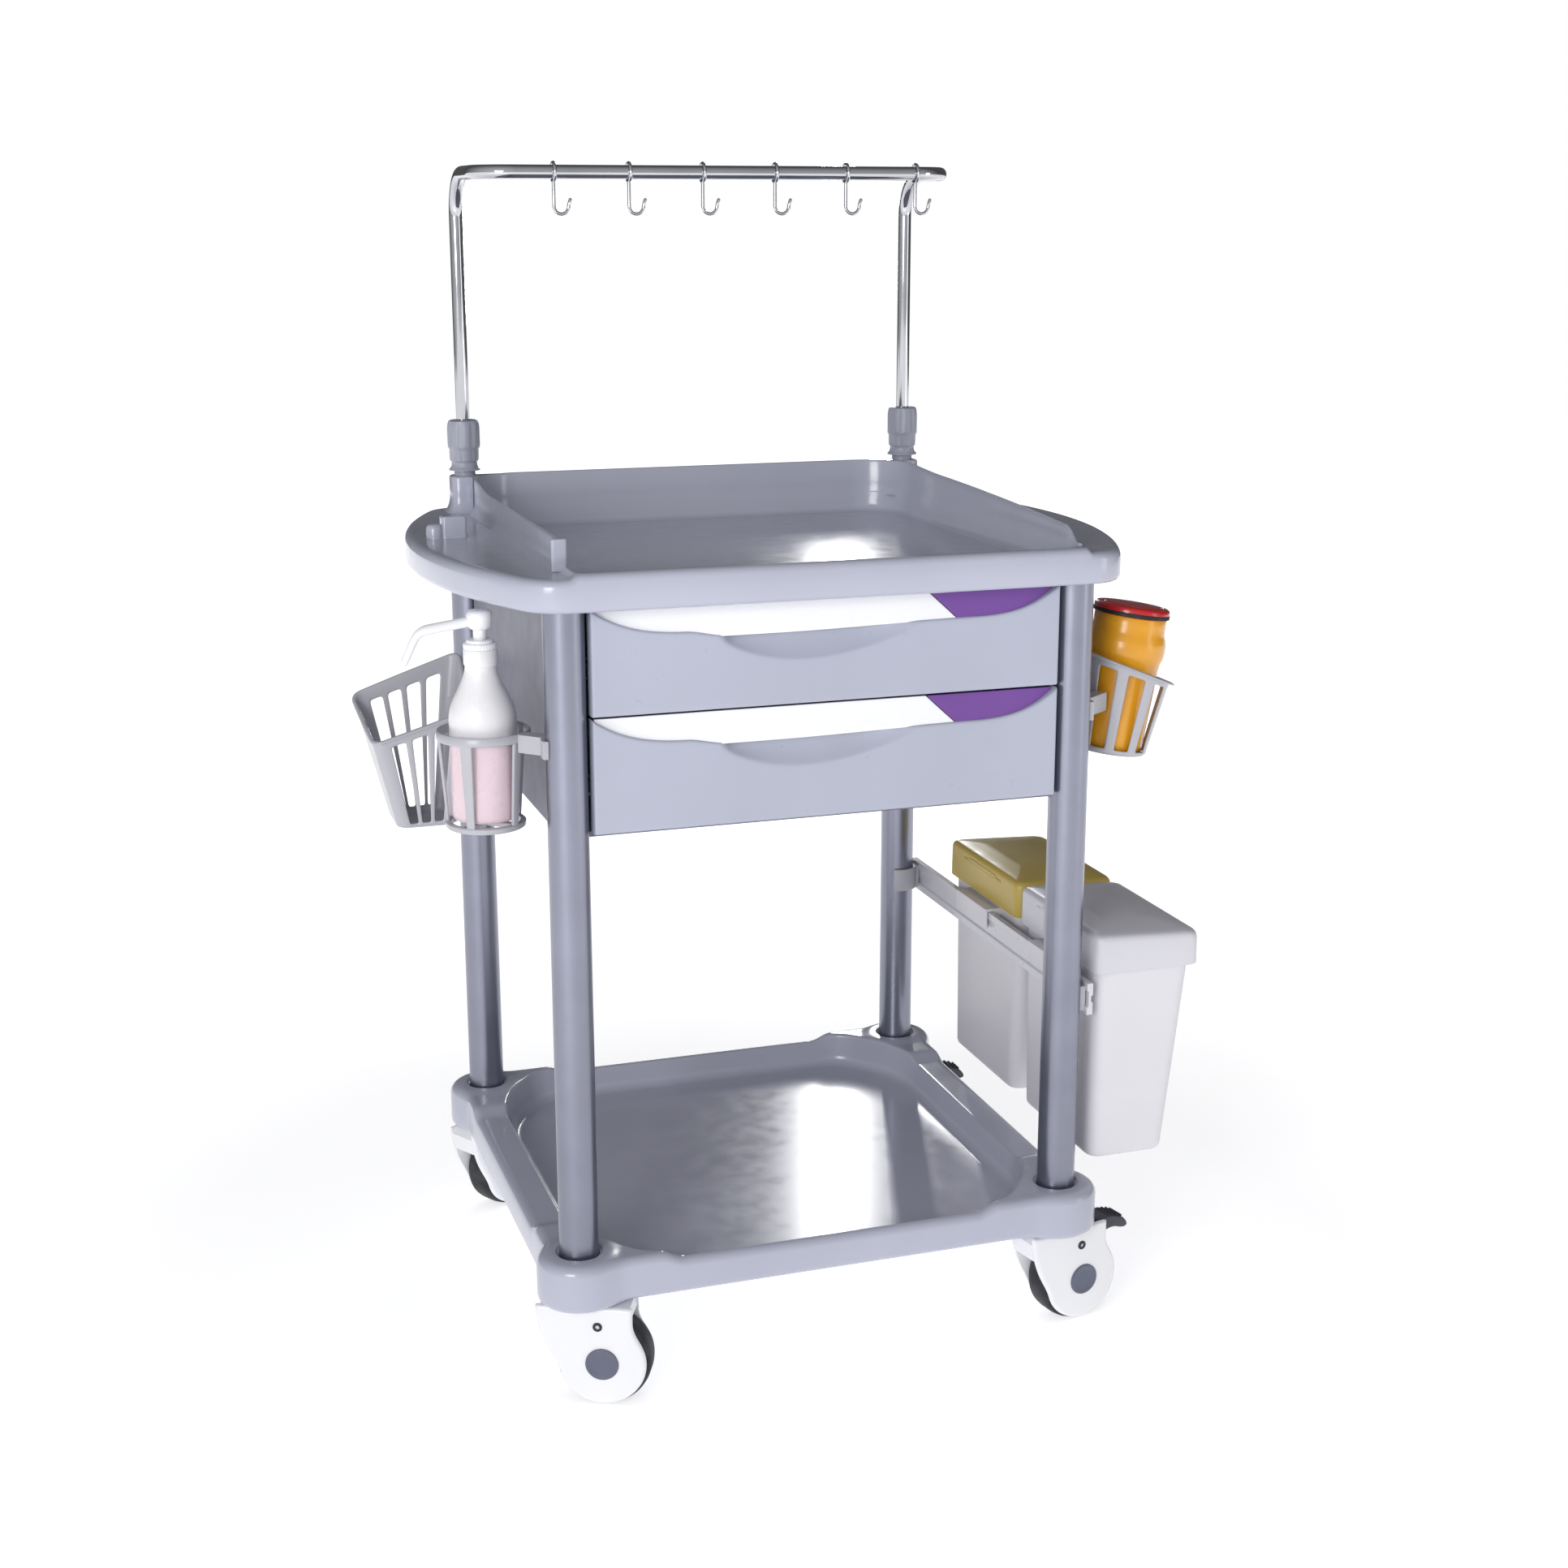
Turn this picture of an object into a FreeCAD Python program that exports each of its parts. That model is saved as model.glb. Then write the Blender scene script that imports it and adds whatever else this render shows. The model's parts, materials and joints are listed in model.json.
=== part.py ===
import FreeCAD
import Part
import Sketcher
import math
import os
import re

# Medication cart: moulded base tray and worktop on four aluminium columns, a two-drawer cabinet,
# a telescopic infusion frame with six hooks, two lift-off bins, a pump bottle, a slotted basket and a
# sharps holder, on four covered casters.
# Millimetres. X runs to the cart's right, Y to its back, Z up; the origin is on the floor under the middle
# of the four columns.

V = FreeCAD.Vector
UP = V(0, 0, 1)

DIMENSIONS = [
    ("column_x", 270, "columns, centre to mid-plane"),
    ("column_y", 245, "columns, centre to mid-plane"),
    ("column_radius", 20.5, "41 mm extrusion"),
    ("column_wall", 2.5, "outer wall of the extrusion"),
    ("hub_bore", 8.2, "radius of the extrusion's central bore"),
    ("chamber_half_angle", 48, "half of each hollow sector of the extrusion"),
    ("fit_gap", 0.1, "running and locating fits, per side"),
    ("clear_gap", 0.5, "loose clearance, per side"),
    ("base_under", 118, "underside of the base tray"),
    ("base_rim", 156, "rim of the base tray"),
    ("base_platform", 164, "raised corner platforms"),
    ("base_boss", 166, "top of the corner bosses"),
    ("base_floor", 125, "floor of the base tray"),
    ("base_half_x", 302, "half width of the base tray"),
    ("base_half_y", 280, "half depth of the base tray"),
    ("base_corner", 34, "corner radius of the base tray"),
    ("boss_radius", 46, "corner bosses"),
    ("boss_under", 114.5, "underside of the corner bosses"),
    ("floor_fillet", 8, "fillet round both tray floors"),
    ("edge_fillet", 5, "rounded edges of the worktop"),
    ("recess_half_x", 262, "base tray recess"),
    ("recess_half_y", 268, "base tray recess"),
    ("recess_cut_x", 60, "corner cut of the recess, along X"),
    ("recess_cut_y", 80, "corner cut of the recess, along Y"),
    ("platform_x", 166, "where the raised platforms start, along X"),
    ("platform_y", 150, "where the raised platforms start, along Y"),
    ("socket_depth", 40, "column socket in each boss"),
    ("stem_radius", 6, "caster stem"),
    ("bolt_depth", 24, "front column bolt in the worktop"),
    ("draft", 8, "draft of the moulded walls, degrees"),
    ("top_under", 838, "underside of the worktop"),
    ("top_rim", 876, "rim of the worktop"),
    ("top_floor", 850, "floor of the worktop"),
    ("top_half_y", 289, "half depth of the worktop"),
    ("top_corner_x", 300, "where the wings start"),
    ("top_bulge", 73, "how far each wing swells outwards"),
    ("top_corner", 34, "corner radius of the worktop"),
    ("tray_half_x", 262, "worktop tray"),
    ("tray_front", -276, "worktop tray, front edge"),
    ("tray_back", 252, "worktop tray, back edge"),
    ("tray_corner", 50, "back corners of the worktop tray"),
    ("guard_top", 912, "guard rail at the back"),
    ("guard_front_top", 905, "guard rail at its front ends"),
    ("guard_front", -233, "front ends of the guard rail"),
    ("guard_wall", 5, "guard rail wall"),
    ("post_radius", 17, "guard rail posts round the infusion sockets"),
    ("lug_x", -336, "lug on the left wing"),
    ("lug_y", 35, "lug on the left wing"),
    ("pole_radius", 7.5, "15 mm infusion frame tube"),
    ("pole_wall", 1.2, "tube wall"),
    ("pole_bottom", 560, "lower ends of the infusion frame"),
    ("pole_bend", 48, "bend radius at the top of each pole"),
    ("pole_corner", 40, "bend radius into the hanging bar"),
    ("bar_y", 105, "hanging bar"),
    ("bar_z", 1247, "hanging bar"),
    ("socket_radius", 12, "infusion socket, outside"),
    ("socket_top", 945, "infusion socket, upper end"),
    ("collar_bottom", 918, "clamp collar"),
    ("collar_top", 975, "clamp collar"),
    ("collar_radius", 18.5, "clamp collar grip"),
    ("hook_pitch", 83.2, "distance between hooks"),
    ("hook_first", -189, "first hook"),
    ("hook_wire", 1.8, "hook wire radius"),
    ("hook_drop", 26, "straight part of a hook"),
    ("hook_bow", 8, "bow radius of a hook"),
    ("panel_x", 262, "inside face of the cabinet sides"),
    ("panel_wall", 8, "cabinet side thickness"),
    ("panel_half_y", 219, "cabinet side, half depth"),
    ("cabinet_bottom", 600, "lower edge of the cabinet"),
    ("front_half_x", 247, "drawer front, half width"),
    ("front_back", 244, "back face of the drawer fronts, behind the nose"),
    ("front_plate", 6, "drawer front backing plate"),
    ("front_shell", 12, "drawer front shell, in front of the plate"),
    ("lower_bottom", 613, "lower drawer front"),
    ("lower_top", 728, "lower drawer front"),
    ("upper_bottom", 731, "upper drawer front"),
    ("upper_top", 836, "upper drawer front"),
    ("box_half_x", 228, "drawer box, half width"),
    ("box_back", 186, "drawer box, back face"),
    ("box_height", 82, "drawer box height"),
    ("box_wall", 3, "drawer box wall"),
    ("box_lift", 9, "drawer box above the lower edge of its front"),
    ("wheel_radius", 50, "100 mm caster wheel"),
    ("wheel_half", 16, "half width of the wheel"),
    ("fork_half", 23, "half width of the caster cover"),
    ("fork_slot", 17.5, "half width of the wheel slot"),
    ("trail", 26, "caster trail"),
    ("cover_radius", 46, "round part of the caster cover"),
    ("hood_top", 113, "top of the caster cover"),
    ("axle_radius", 4, "caster axle"),
    ("cap_radius", 17.5, "axle cap"),
    ("pedal_x", 52, "brake pedal pivot from the swivel axis"),
    ("pedal_z", 102, "brake pedal pivot height"),
    ("rail_x", 295.5, "bin rail, inner face"),
    ("rail_wall", 7, "bin rail thickness"),
    ("rail_bottom", 361, "bin rail"),
    ("rail_top", 397, "bin rail"),
    ("bin_x", 305, "rail side of the bins"),
    ("bin_bottom", 185, "bins, underside"),
    ("bin_top", 440, "bins, open edge"),
    ("bin_reach", 122, "outer face of a bin at its open edge"),
    ("bin_foot_reach", 98, "outer face of a bin at its foot"),
    ("bin_half_y", 98, "half length of a bin at its open edge"),
    ("bin_foot_half_y", 90, "half length of a bin at its foot"),
    ("bin_wall", 2.5, "bin wall"),
    ("lid_top", 450, "bin lids, top face"),
    ("lid_skirt", 405, "bin lids, lower edge"),
    ("bin_front_y", -155, "front bin, middle"),
    ("bin_back_y", 55, "back bin, middle"),
    ("bottle_x", -338, "pump bottle"),
    ("bottle_y", -175, "pump bottle"),
    ("bottle_z", 618, "pump bottle, base"),
    ("bottle_radius", 33, "pump bottle"),
    ("ring_radius", 47, "bottle holder ring, outside"),
    ("ring_z", 700, "bottle holder ring, lower edge"),
    ("sharps_x", 350, "sharps container, foot"),
    ("sharps_y", -175, "sharps container, foot"),
    ("sharps_z", 638, "sharps container, foot"),
    ("sharps_lean", 9, "lean of the sharps container, degrees"),
    ("basket_y", 160, "basket, middle"),
    ("basket_foot", 528, "basket, underside"),
]

doc = FreeCAD.newDocument("MedicationCart")
sheet = doc.addObject("Spreadsheet::Sheet", "Dims")
for row, (alias, number, note) in enumerate(DIMENSIONS, 1):
    sheet.set("A%d" % row, alias)
    sheet.set("B%d" % row, str(number))
    sheet.set("C%d" % row, note)
    sheet.setAlias("B%d" % row, alias)
doc.recompute()

NODES = []


# ---- sheet ------------------------------------------------------------------------------------------------

def bound(text):
    """Turn an arithmetic text of alias names into an expression that reads the sheet."""
    def word(match):
        name = match.group(0)
        return name if name in ("sqrt", "sin", "cos", "tan", "abs") else "Dims." + name
    return re.sub(r"[A-Za-z_][A-Za-z0-9_]*", word, str(text))


def dim(text):
    """The present value of such a text."""
    return float(sheet.evalExpression(bound(text)))


def bind(item, prop, text):
    item.setExpression(prop, bound(text))


def node(label, item):
    """Register a finished sub-part under its node name."""
    item.Label = label
    NODES.append(item)
    return item


def place(item, x="0", y="0", z="0", turn="0", axis=UP):
    """Placement bound to the sheet: a turn about an axis, then a move."""
    item.Placement = FreeCAD.Placement(V(0, 0, 0), FreeCAD.Rotation(axis, dim(turn)))
    for letter, text in zip("xyz", (x, y, z)):
        bind(item, "Placement.Base." + letter, text)
    if turn != "0":
        bind(item, "Placement.Rotation.Angle", turn)
    return item


# ---- PartDesign helpers -----------------------------------------------------------------------------------

def new_body(name):
    return doc.addObject("PartDesign::Body", name)


def sketch(body, name, role="XY_Plane", lift="0"):
    """A sketch on one of the body's own origin planes, lifted along the plane's normal."""
    item = body.newObject("Sketcher::SketchObject", body.Name + "_" + name)
    item.AttachmentSupport = (next(o for o in body.Origin.OriginFeatures if o.Role == role), "")
    item.MapMode = "FlatFace"
    bind(item, "AttachmentOffset.Base.z", lift)
    return item


def datum(item, kind, args, text):
    """One driven dimension of a sketch."""
    index = item.addConstraint(Sketcher.Constraint(kind, *args, dim(text)))
    bind(item, "Constraints[%d]" % index, text)


def outline(item, corners):
    """Closed profile, counter-clockwise. A corner is (x, y) or (x, y, bulge): a bulge bends the side after
    it into an arc of that height, outwards when positive."""
    count = len(corners)
    ends = []
    for here, there in zip(corners, corners[1:] + corners[:1]):
        a = V(dim(here[0]), dim(here[1]), 0)
        b = V(dim(there[0]), dim(there[1]), 0)
        if len(here) == 2:
            ends.append((item.addGeometry(Part.LineSegment(a, b), False), 1, 2))
            continue
        rise = dim(here[2])
        chord = b - a
        radius = chord.Length ** 2 / (8 * abs(rise)) + abs(rise) / 2
        right = V(chord.y, -chord.x, 0).normalize() * math.copysign(1, rise)
        middle = (a + b) * 0.5 + right * (abs(rise) - radius)
        first, last = (a, b) if rise > 0 else (b, a)
        angles = [math.atan2(p.y - middle.y, p.x - middle.x) for p in (first, last)]
        if angles[1] < angles[0]:
            angles[1] += 2 * math.pi
        arc = Part.ArcOfCircle(Part.Circle(middle, UP, radius), *angles)
        geo = item.addGeometry(arc, False)
        ends.append((geo, 1, 2) if rise > 0 else (geo, 2, 1))
    for i, (geo, start, end) in enumerate(ends):
        following = ends[(i + 1) % count]
        item.addConstraint(Sketcher.Constraint("Coincident", geo, end, following[0], following[1]))
        datum(item, "DistanceX", (-1, 1, geo, start), corners[i][0])
        datum(item, "DistanceY", (-1, 1, geo, start), corners[i][1])
    for (geo, start, end), here, there in zip(ends, corners, corners[1:] + corners[:1]):
        if len(here) == 3:
            size = "abs({s})".format(s="(" + here[2] + ")")
            text = "((({bx})-({ax}))^2+(({by})-({ay}))^2)/(8*{s})+{s}/2".format(
                ax=here[0], ay=here[1], bx=there[0], by=there[1], s=size)
            datum(item, "Radius", (geo,), text)
    return item


def circle(item, radius, x="0", y="0"):
    geo = item.addGeometry(Part.Circle(V(dim(x), dim(y), 0), UP, dim(radius)), False)
    datum(item, "DistanceX", (-1, 1, geo, 3), x)
    datum(item, "DistanceY", (-1, 1, geo, 3), y)
    datum(item, "Radius", (geo,), radius)
    return item


def box_corners(x0, x1, y0, y1):
    return [(x0, y0), (x1, y0), (x1, y1), (x0, y1)]


def round_corners(x0, x1, y0, y1, radius, back=None):
    """Corners of a rectangle with round corners, for outline(); the two at y1 can have a radius of their own."""
    back = back or radius

    def inset(edge, sign, size):
        return "(%s)%s(%s)" % (edge, sign, size)

    rise, back_rise = "(%s)*0.292893" % radius, "(%s)*0.292893" % back
    return [
        (inset(x0, "+", radius), y0), (inset(x1, "-", radius), y0, rise),
        (x1, inset(y0, "+", radius)), (x1, inset(y1, "-", back), back_rise),
        (inset(x1, "-", back), y1), (inset(x0, "+", back), y1, back_rise),
        (x0, inset(y1, "-", back)), (x0, inset(y0, "+", radius), rise),
    ]


def feature(body, kind, profile, length=None, both=False, taper=None):
    """Pad or Pocket of a sketch."""
    item = body.newObject("PartDesign::" + kind, profile.Name + "_" + kind.lower())
    item.Profile = profile
    if length is None:
        item.Type = "ThroughAll"
    else:
        bind(item, "Length", length)
    if both:
        item.Midplane = True
    if taper is not None:
        bind(item, "TaperAngle", taper)
    return item


def turned(body, profile, kind="Revolution"):
    """Full revolution (or groove) of a sketch about its own vertical axis."""
    item = body.newObject("PartDesign::" + kind, profile.Name + "_" + kind.lower())
    item.Profile = profile
    item.ReferenceAxis = (profile, ["V_Axis"])
    item.Angle = 360
    return item


def soften(body, name, size, wanted, kind="Fillet"):
    """Fillet or chamfer the edges of the body's tip for which wanted(edge) holds."""
    doc.recompute()
    base = body.Tip
    names = ["Edge%d" % n for n, edge in enumerate(base.Shape.Edges, 1) if wanted(edge)]
    item = body.newObject("PartDesign::" + kind, body.Name + "_" + name)
    item.Base = (base, names)
    bind(item, "Radius" if kind == "Fillet" else "Size", size)
    return item


def upright(edge):
    a, b = edge.Vertexes[0].Point, edge.Vertexes[-1].Point
    return abs(a.x - b.x) < 1e-6 and abs(a.y - b.y) < 1e-6 and abs(a.z - b.z) > 1e-3


def level(text):
    """True for edges that lie wholly at one height."""
    height = dim(text)

    def wanted(edge):
        box = edge.BoundBox
        return abs(box.ZMin - height) < 1e-3 and abs(box.ZMax - height) < 1e-3
    return wanted


# ---- Part helpers -----------------------------------------------------------------------------------------

def block(name, x0, x1, y0, y1, z0, z1):
    """Box between three pairs of limits."""
    item = doc.addObject("Part::Box", name)
    for prop, low, high in (("Length", x0, x1), ("Width", y0, y1), ("Height", z0, z1)):
        bind(item, prop, "(%s)-(%s)" % (high, low))
    return place(item, x0, y0, z0)


def rod(name, radius, length, x="0", y="0", z="0", along="z"):
    """Cylinder from a point along one axis."""
    item = doc.addObject("Part::Cylinder", name)
    bind(item, "Radius", radius)
    bind(item, "Height", length)
    turn, axis = {"x": ("90", V(0, 1, 0)), "y": ("-90", V(1, 0, 0)), "z": ("0", UP)}[along]
    return place(item, x, y, z, turn, axis)


def fused(name, items):
    item = doc.addObject("Part::MultiFuse", name)
    item.Shapes = items
    return item


def cut(name, base, tool):
    item = doc.addObject("Part::Cut", name)
    item.Base = base
    item.Tool = tool
    return item


def group(name, items):
    item = doc.addObject("Part::Compound", name)
    item.Links = items
    return item


def shaped(name, shape, placement=None):
    """A Part::Feature that holds a computed shape."""
    item = doc.addObject("Part::Feature", name)
    item.Shape = shape
    if placement is not None:
        item.Placement = placement
    return item


def route(points, radii):
    """Wire through points, each inner corner rounded by its radius."""
    edges = []
    start = points[0]
    for before, corner, after, radius in zip(points, points[1:], points[2:], radii):
        one = (before - corner).normalize()
        two = (after - corner).normalize()
        half = one.getAngle(two) / 2
        reach = radius / math.tan(half)
        into = corner + one * reach
        out = corner + two * reach
        middle = corner + (one + two).normalize() * (radius / math.sin(half))
        top = middle + (corner - middle).normalize() * radius
        if (into - start).Length > 1e-6:
            edges.append(Part.LineSegment(start, into).toShape())
        edges.append(Part.Arc(into, top, out).toShape())
        start = out
    edges.append(Part.LineSegment(start, points[-1]).toShape())
    return Part.Wire(edges)


def tube(path, radius):
    """Round bar swept along a wire."""
    start = path.Edges[0].valueAt(path.Edges[0].FirstParameter)
    heading = path.Edges[0].tangentAt(path.Edges[0].FirstParameter)
    section = Part.Wire([Part.Circle(start, heading, radius).toShape()])
    return path.makePipeShell([section], True, False)


# ---- frame ------------------------------------------------------------------------------------------------

SIDES = (("left", -1), ("right", 1))
ENDS = (("front", -1), ("back", 1))


def build_columns():
    """Four equal extrusions: a ring, a bored hub and three ribs between them."""
    for end, sy in ENDS:
        for side, sx in SIDES:
            body = new_body("column_%s_%s" % (end, side))
            bottom = "base_boss-socket_depth"
            ring = circle(sketch(body, "ring", lift=bottom), "column_radius")
            feature(body, "Pad", ring, "top_under-(%s)" % bottom)
            bore = circle(sketch(body, "bore", lift="top_under"), "hub_bore")
            feature(body, "Pocket", bore)
            inner, outer = "(hub_bore+column_wall)", "(column_radius-column_wall)"
            angle = "chamber_half_angle"
            rise = "%s*(1-cos(" + angle + "))"
            chamber = outline(sketch(body, "chamber", lift="top_under"), [
                (inner + "*cos(%s)" % angle, "-%s*sin(%s)" % (inner, angle)),
                (outer + "*cos(%s)" % angle, "-%s*sin(%s)" % (outer, angle), rise % outer),
                (outer + "*cos(%s)" % angle, "%s*sin(%s)" % (outer, angle)),
                (inner + "*cos(%s)" % angle, "%s*sin(%s)" % (inner, angle), "-" + rise % inner),
            ])
            hollow = feature(body, "Pocket", chamber)
            ribs = body.newObject("PartDesign::PolarPattern", body.Name + "_ribs")
            ribs.Originals = [hollow]
            ribs.Axis = (chamber, ["N_Axis"])
            ribs.Angle = 360
            ribs.Occurrences = 3
            body.Tip = ribs
            place(body, "%d*column_x" % sx, "%d*column_y" % sy)
            node(body.Name, body)


def build_base_tray():
    """Moulded tray: rim, raised corner platforms with round bosses, and a drafted recess with cut corners."""
    body = new_body("base_tray")
    plate = outline(sketch(body, "plate", lift="base_under"), round_corners(
        "-base_half_x", "base_half_x", "-base_half_y", "base_half_y", "base_corner"))
    feature(body, "Pad", plate, "base_rim-base_under")
    for end, sy in ENDS:
        for side, sx in SIDES:
            tag = "%s_%s" % (end, side)
            x_in, y_in = "%d*platform_x" % sx, "%d*platform_y" % sy
            x_out, y_out = "%d*base_half_x" % sx, "%d*base_half_y" % sy
            x_round = "%d*(base_half_x-base_corner)" % sx
            y_round = "%d*(base_half_y-base_corner)" % sy
            rise = "base_corner*0.292893"
            ring = [(x_in, y_in), (x_out, y_in), (x_out, y_round, rise), (x_round, y_out), (x_in, y_out)]
            if sx * sy < 0:
                ring = [(x_in, y_in), (x_in, y_out), (x_round, y_out, rise), (x_out, y_round),
                    (x_out, y_in)]
            platform = outline(sketch(body, "platform_" + tag, lift="base_under"), ring)
            feature(body, "Pad", platform, "base_platform-base_under")
            boss = circle(sketch(body, "boss_" + tag, lift="boss_under"), "boss_radius",
                          "%d*column_x" % sx, "%d*column_y" % sy)
            feature(body, "Pad", boss, "base_boss-boss_under")
    hx, hy, cx, cy = "recess_half_x", "recess_half_y", "recess_cut_x", "recess_cut_y"
    cut_corners = []
    for sx, sy in ((1, -1), (1, 1), (-1, 1), (-1, -1)):
        pair = [("%d*(%s-%s)" % (sx, hx, cx), "%d*%s" % (sy, hy)),
            ("%d*%s" % (sx, hx), "%d*(%s-%s)" % (sy, hy, cy))]
        cut_corners += pair if sx * sy < 0 else pair[::-1]
    recess = outline(sketch(body, "recess", lift="base_boss"), cut_corners)
    feature(body, "Pocket", recess, "base_boss-base_floor", taper="-draft")
    soften(body, "floor", "floor_fillet", level("base_floor"))
    sockets = sketch(body, "sockets", lift="base_boss")
    stems = sketch(body, "stems", lift="base_boss")
    for end, sy in ENDS:
        for side, sx in SIDES:
            centre = ("%d*column_x" % sx, "%d*column_y" % sy)
            circle(sockets, "column_radius+fit_gap", *centre)
            circle(stems, "stem_radius+fit_gap", *centre)
    feature(body, "Pocket", sockets, "socket_depth")
    feature(body, "Pocket", stems)
    return node("base_tray", body)


def build_worktop():
    """Moulded worktop: straight front and back, swelling wings, a drafted tray and a lug on the left wing."""
    body = new_body("worktop")
    cx, hy = "top_corner_x", "top_half_y"
    plate = outline(sketch(body, "plate", lift="top_under"), [
        ("-" + cx, "-" + hy), (cx, "-" + hy, "top_bulge"), (cx, hy), ("-" + cx, hy, "top_bulge")])
    feature(body, "Pad", plate, "top_rim-top_under")
    soften(body, "corners", "top_corner", upright)
    soften(body, "upper_edge", "edge_fillet", level("top_rim"))
    soften(body, "lower_edge", "edge_fillet", level("top_under"))
    tray = outline(sketch(body, "tray", lift="top_rim"), round_corners(
        "-tray_half_x", "tray_half_x", "tray_front", "tray_back", "16", "tray_corner"))
    feature(body, "Pocket", tray, "top_rim-top_floor", taper="-draft")
    soften(body, "floor", "floor_fillet", level("top_floor"))
    holes = sketch(body, "holes", lift="top_rim")
    bolts = sketch(body, "bolts", lift="top_under")
    for _, sx in SIDES:
        circle(holes, "socket_radius+fit_gap", "%d*column_x" % sx, "column_y")
        circle(bolts, "stem_radius+fit_gap", "%d*column_x" % sx, "-column_y")
    feature(body, "Pocket", holes)
    feature(body, "Pocket", bolts, "bolt_depth").Reversed = True
    lug = circle(sketch(body, "lug", lift="top_rim"), "9", "lug_x-8", "lug_y")
    feature(body, "Pad", lug, "10")
    ear = outline(sketch(body, "ear", lift="top_rim"), round_corners(
        "lug_x", "lug_x+26", "lug_y-10", "lug_y+10", "3"))
    feature(body, "Pad", ear, "22")
    return node("worktop", body)


def build_guard_rail():
    """Low wall round three sides of the worktop tray, falling towards its front ends, with two posts."""
    body = new_body("guard_rail")
    inner_x, outer_x = "(tray_half_x+1)", "(tray_half_x+1+guard_wall)"
    inner_y, outer_y = "(tray_back+1)", "(tray_back+1+guard_wall)"
    bend = "tray_corner"
    inner_rise, outer_rise = "-0.292893*tray_corner", "0.292893*(tray_corner+guard_wall)"
    wall = outline(sketch(body, "wall", lift="top_rim"), [
        (outer_x, "guard_front"),
        (outer_x, inner_y + "-" + bend, outer_rise),
        (inner_x + "-" + bend, outer_y),
        ("-(%s-%s)" % (inner_x, bend), outer_y, outer_rise),
        ("-" + outer_x, inner_y + "-" + bend),
        ("-" + outer_x, "guard_front"),
        ("-" + inner_x, "guard_front"),
        ("-" + inner_x, inner_y + "-" + bend, inner_rise),
        ("-(%s-%s)" % (inner_x, bend), inner_y),
        (inner_x + "-" + bend, inner_y, inner_rise),
        (inner_x, inner_y + "-" + bend),
        (inner_x, "guard_front"),
    ])
    feature(body, "Pad", wall, "guard_top-top_rim")
    for side, sx in SIDES:
        limits = ["-(tray_half_x+22)", "-(tray_half_x+1)"] if sx < 0 else ["tray_half_x+1",
            "tray_half_x+22"]
        stop = outline(sketch(body, "stop_" + side, lift="top_rim"),
                       box_corners(*limits, "guard_front-guard_wall", "guard_front"))
        feature(body, "Pad", stop, "guard_top-top_rim")
        near, far = "%d*(tray_half_x-11)" % sx, "%d*column_x" % sx
        web = outline(sketch(body, "web_" + side, lift="top_rim"), box_corners(
            *((far, near) if sx < 0 else (near, far)), "column_y-5", "column_y+11"))
        feature(body, "Pad", web, "guard_top-top_rim")
        post = circle(sketch(body, "post_" + side, lift="top_rim"), "post_radius", "%d*column_x" % sx,
            "column_y")
        feature(body, "Pad", post, "guard_top-top_rim")
    slope = outline(sketch(body, "slope", role="YZ_Plane"), [
        ("guard_front-20", "guard_front_top-1"), ("column_y-2*post_radius", "guard_top-2", "-4"),
        ("column_y-post_radius", "guard_top+5"), ("guard_front-20", "guard_top+5")])
    feature(body, "Pocket", slope, "4*tray_half_x", both=True)
    holes = sketch(body, "holes", lift="guard_top")
    for side, sx in SIDES:
        circle(holes, "socket_radius+fit_gap", "%d*column_x" % sx, "column_y")
    feature(body, "Pocket", holes)
    return node("guard_rail", body)


def build_cabinet():
    """Side panels between the columns, a back panel and a floor."""
    sides = [
        block("cabinet_side_left", "-panel_x-panel_wall", "-panel_x", "-panel_half_y", "panel_half_y",
              "cabinet_bottom", "top_under"),
        block("cabinet_side_right", "panel_x", "panel_x+panel_wall", "-panel_half_y", "panel_half_y",
              "cabinet_bottom", "top_under"),
    ]
    node("cabinet_sides", group("cabinet_sides", sides))
    width = "column_x-column_radius-clear_gap"
    node("cabinet_back", block("cabinet_back", "-(%s)" % width, width, "column_y-8", "column_y-2",
                               "cabinet_bottom+6", "top_under"))
    node("cabinet_floor", block("cabinet_floor", "-panel_x", "panel_x", "-panel_half_y", "panel_half_y",
                                "cabinet_bottom", "cabinet_bottom+6"))


DRAWERS = (("lower", "lower_bottom", "lower_top"), ("upper", "upper_bottom", "upper_top"))


def build_slide_rails():
    """Fixed C channels on the cabinet sides, one pair for each drawer."""
    parts = []
    for tag, bottom, _ in DRAWERS:
        middle = "%s+box_lift+30" % bottom
        for side, sx in SIDES:
            def span(low, high):
                return ("-(%s)" % high, "-(%s)" % low) if sx < 0 else (low, high)
            name = "channel_%s_%s" % (tag, side)
            length = ("-panel_half_y+8", "box_back")
            web = block(name + "_web", *span("box_half_x+14", "box_half_x+17"), *length, middle + "-11",
                middle + "+11")
            high = block(name + "_high", *span("box_half_x+4", "box_half_x+14"), *length, middle + "+8",
                middle + "+11")
            low = block(name + "_low", *span("box_half_x+4", "box_half_x+14"), *length, middle + "-11",
                middle + "-8")
            stand = [
                block(name + "_stand_front", *span("box_half_x+17", "panel_x"), "-200", "-170",
                middle + "-9", middle + "+9"),
                block(name + "_stand_back", *span("box_half_x+17", "panel_x"), "130", "160", middle + "-9",
                middle + "+9"),
            ]
            parts.append(fused(name, [web, high, low] + stand))
    node("slide_rails", group("slide_rails", parts))


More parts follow.
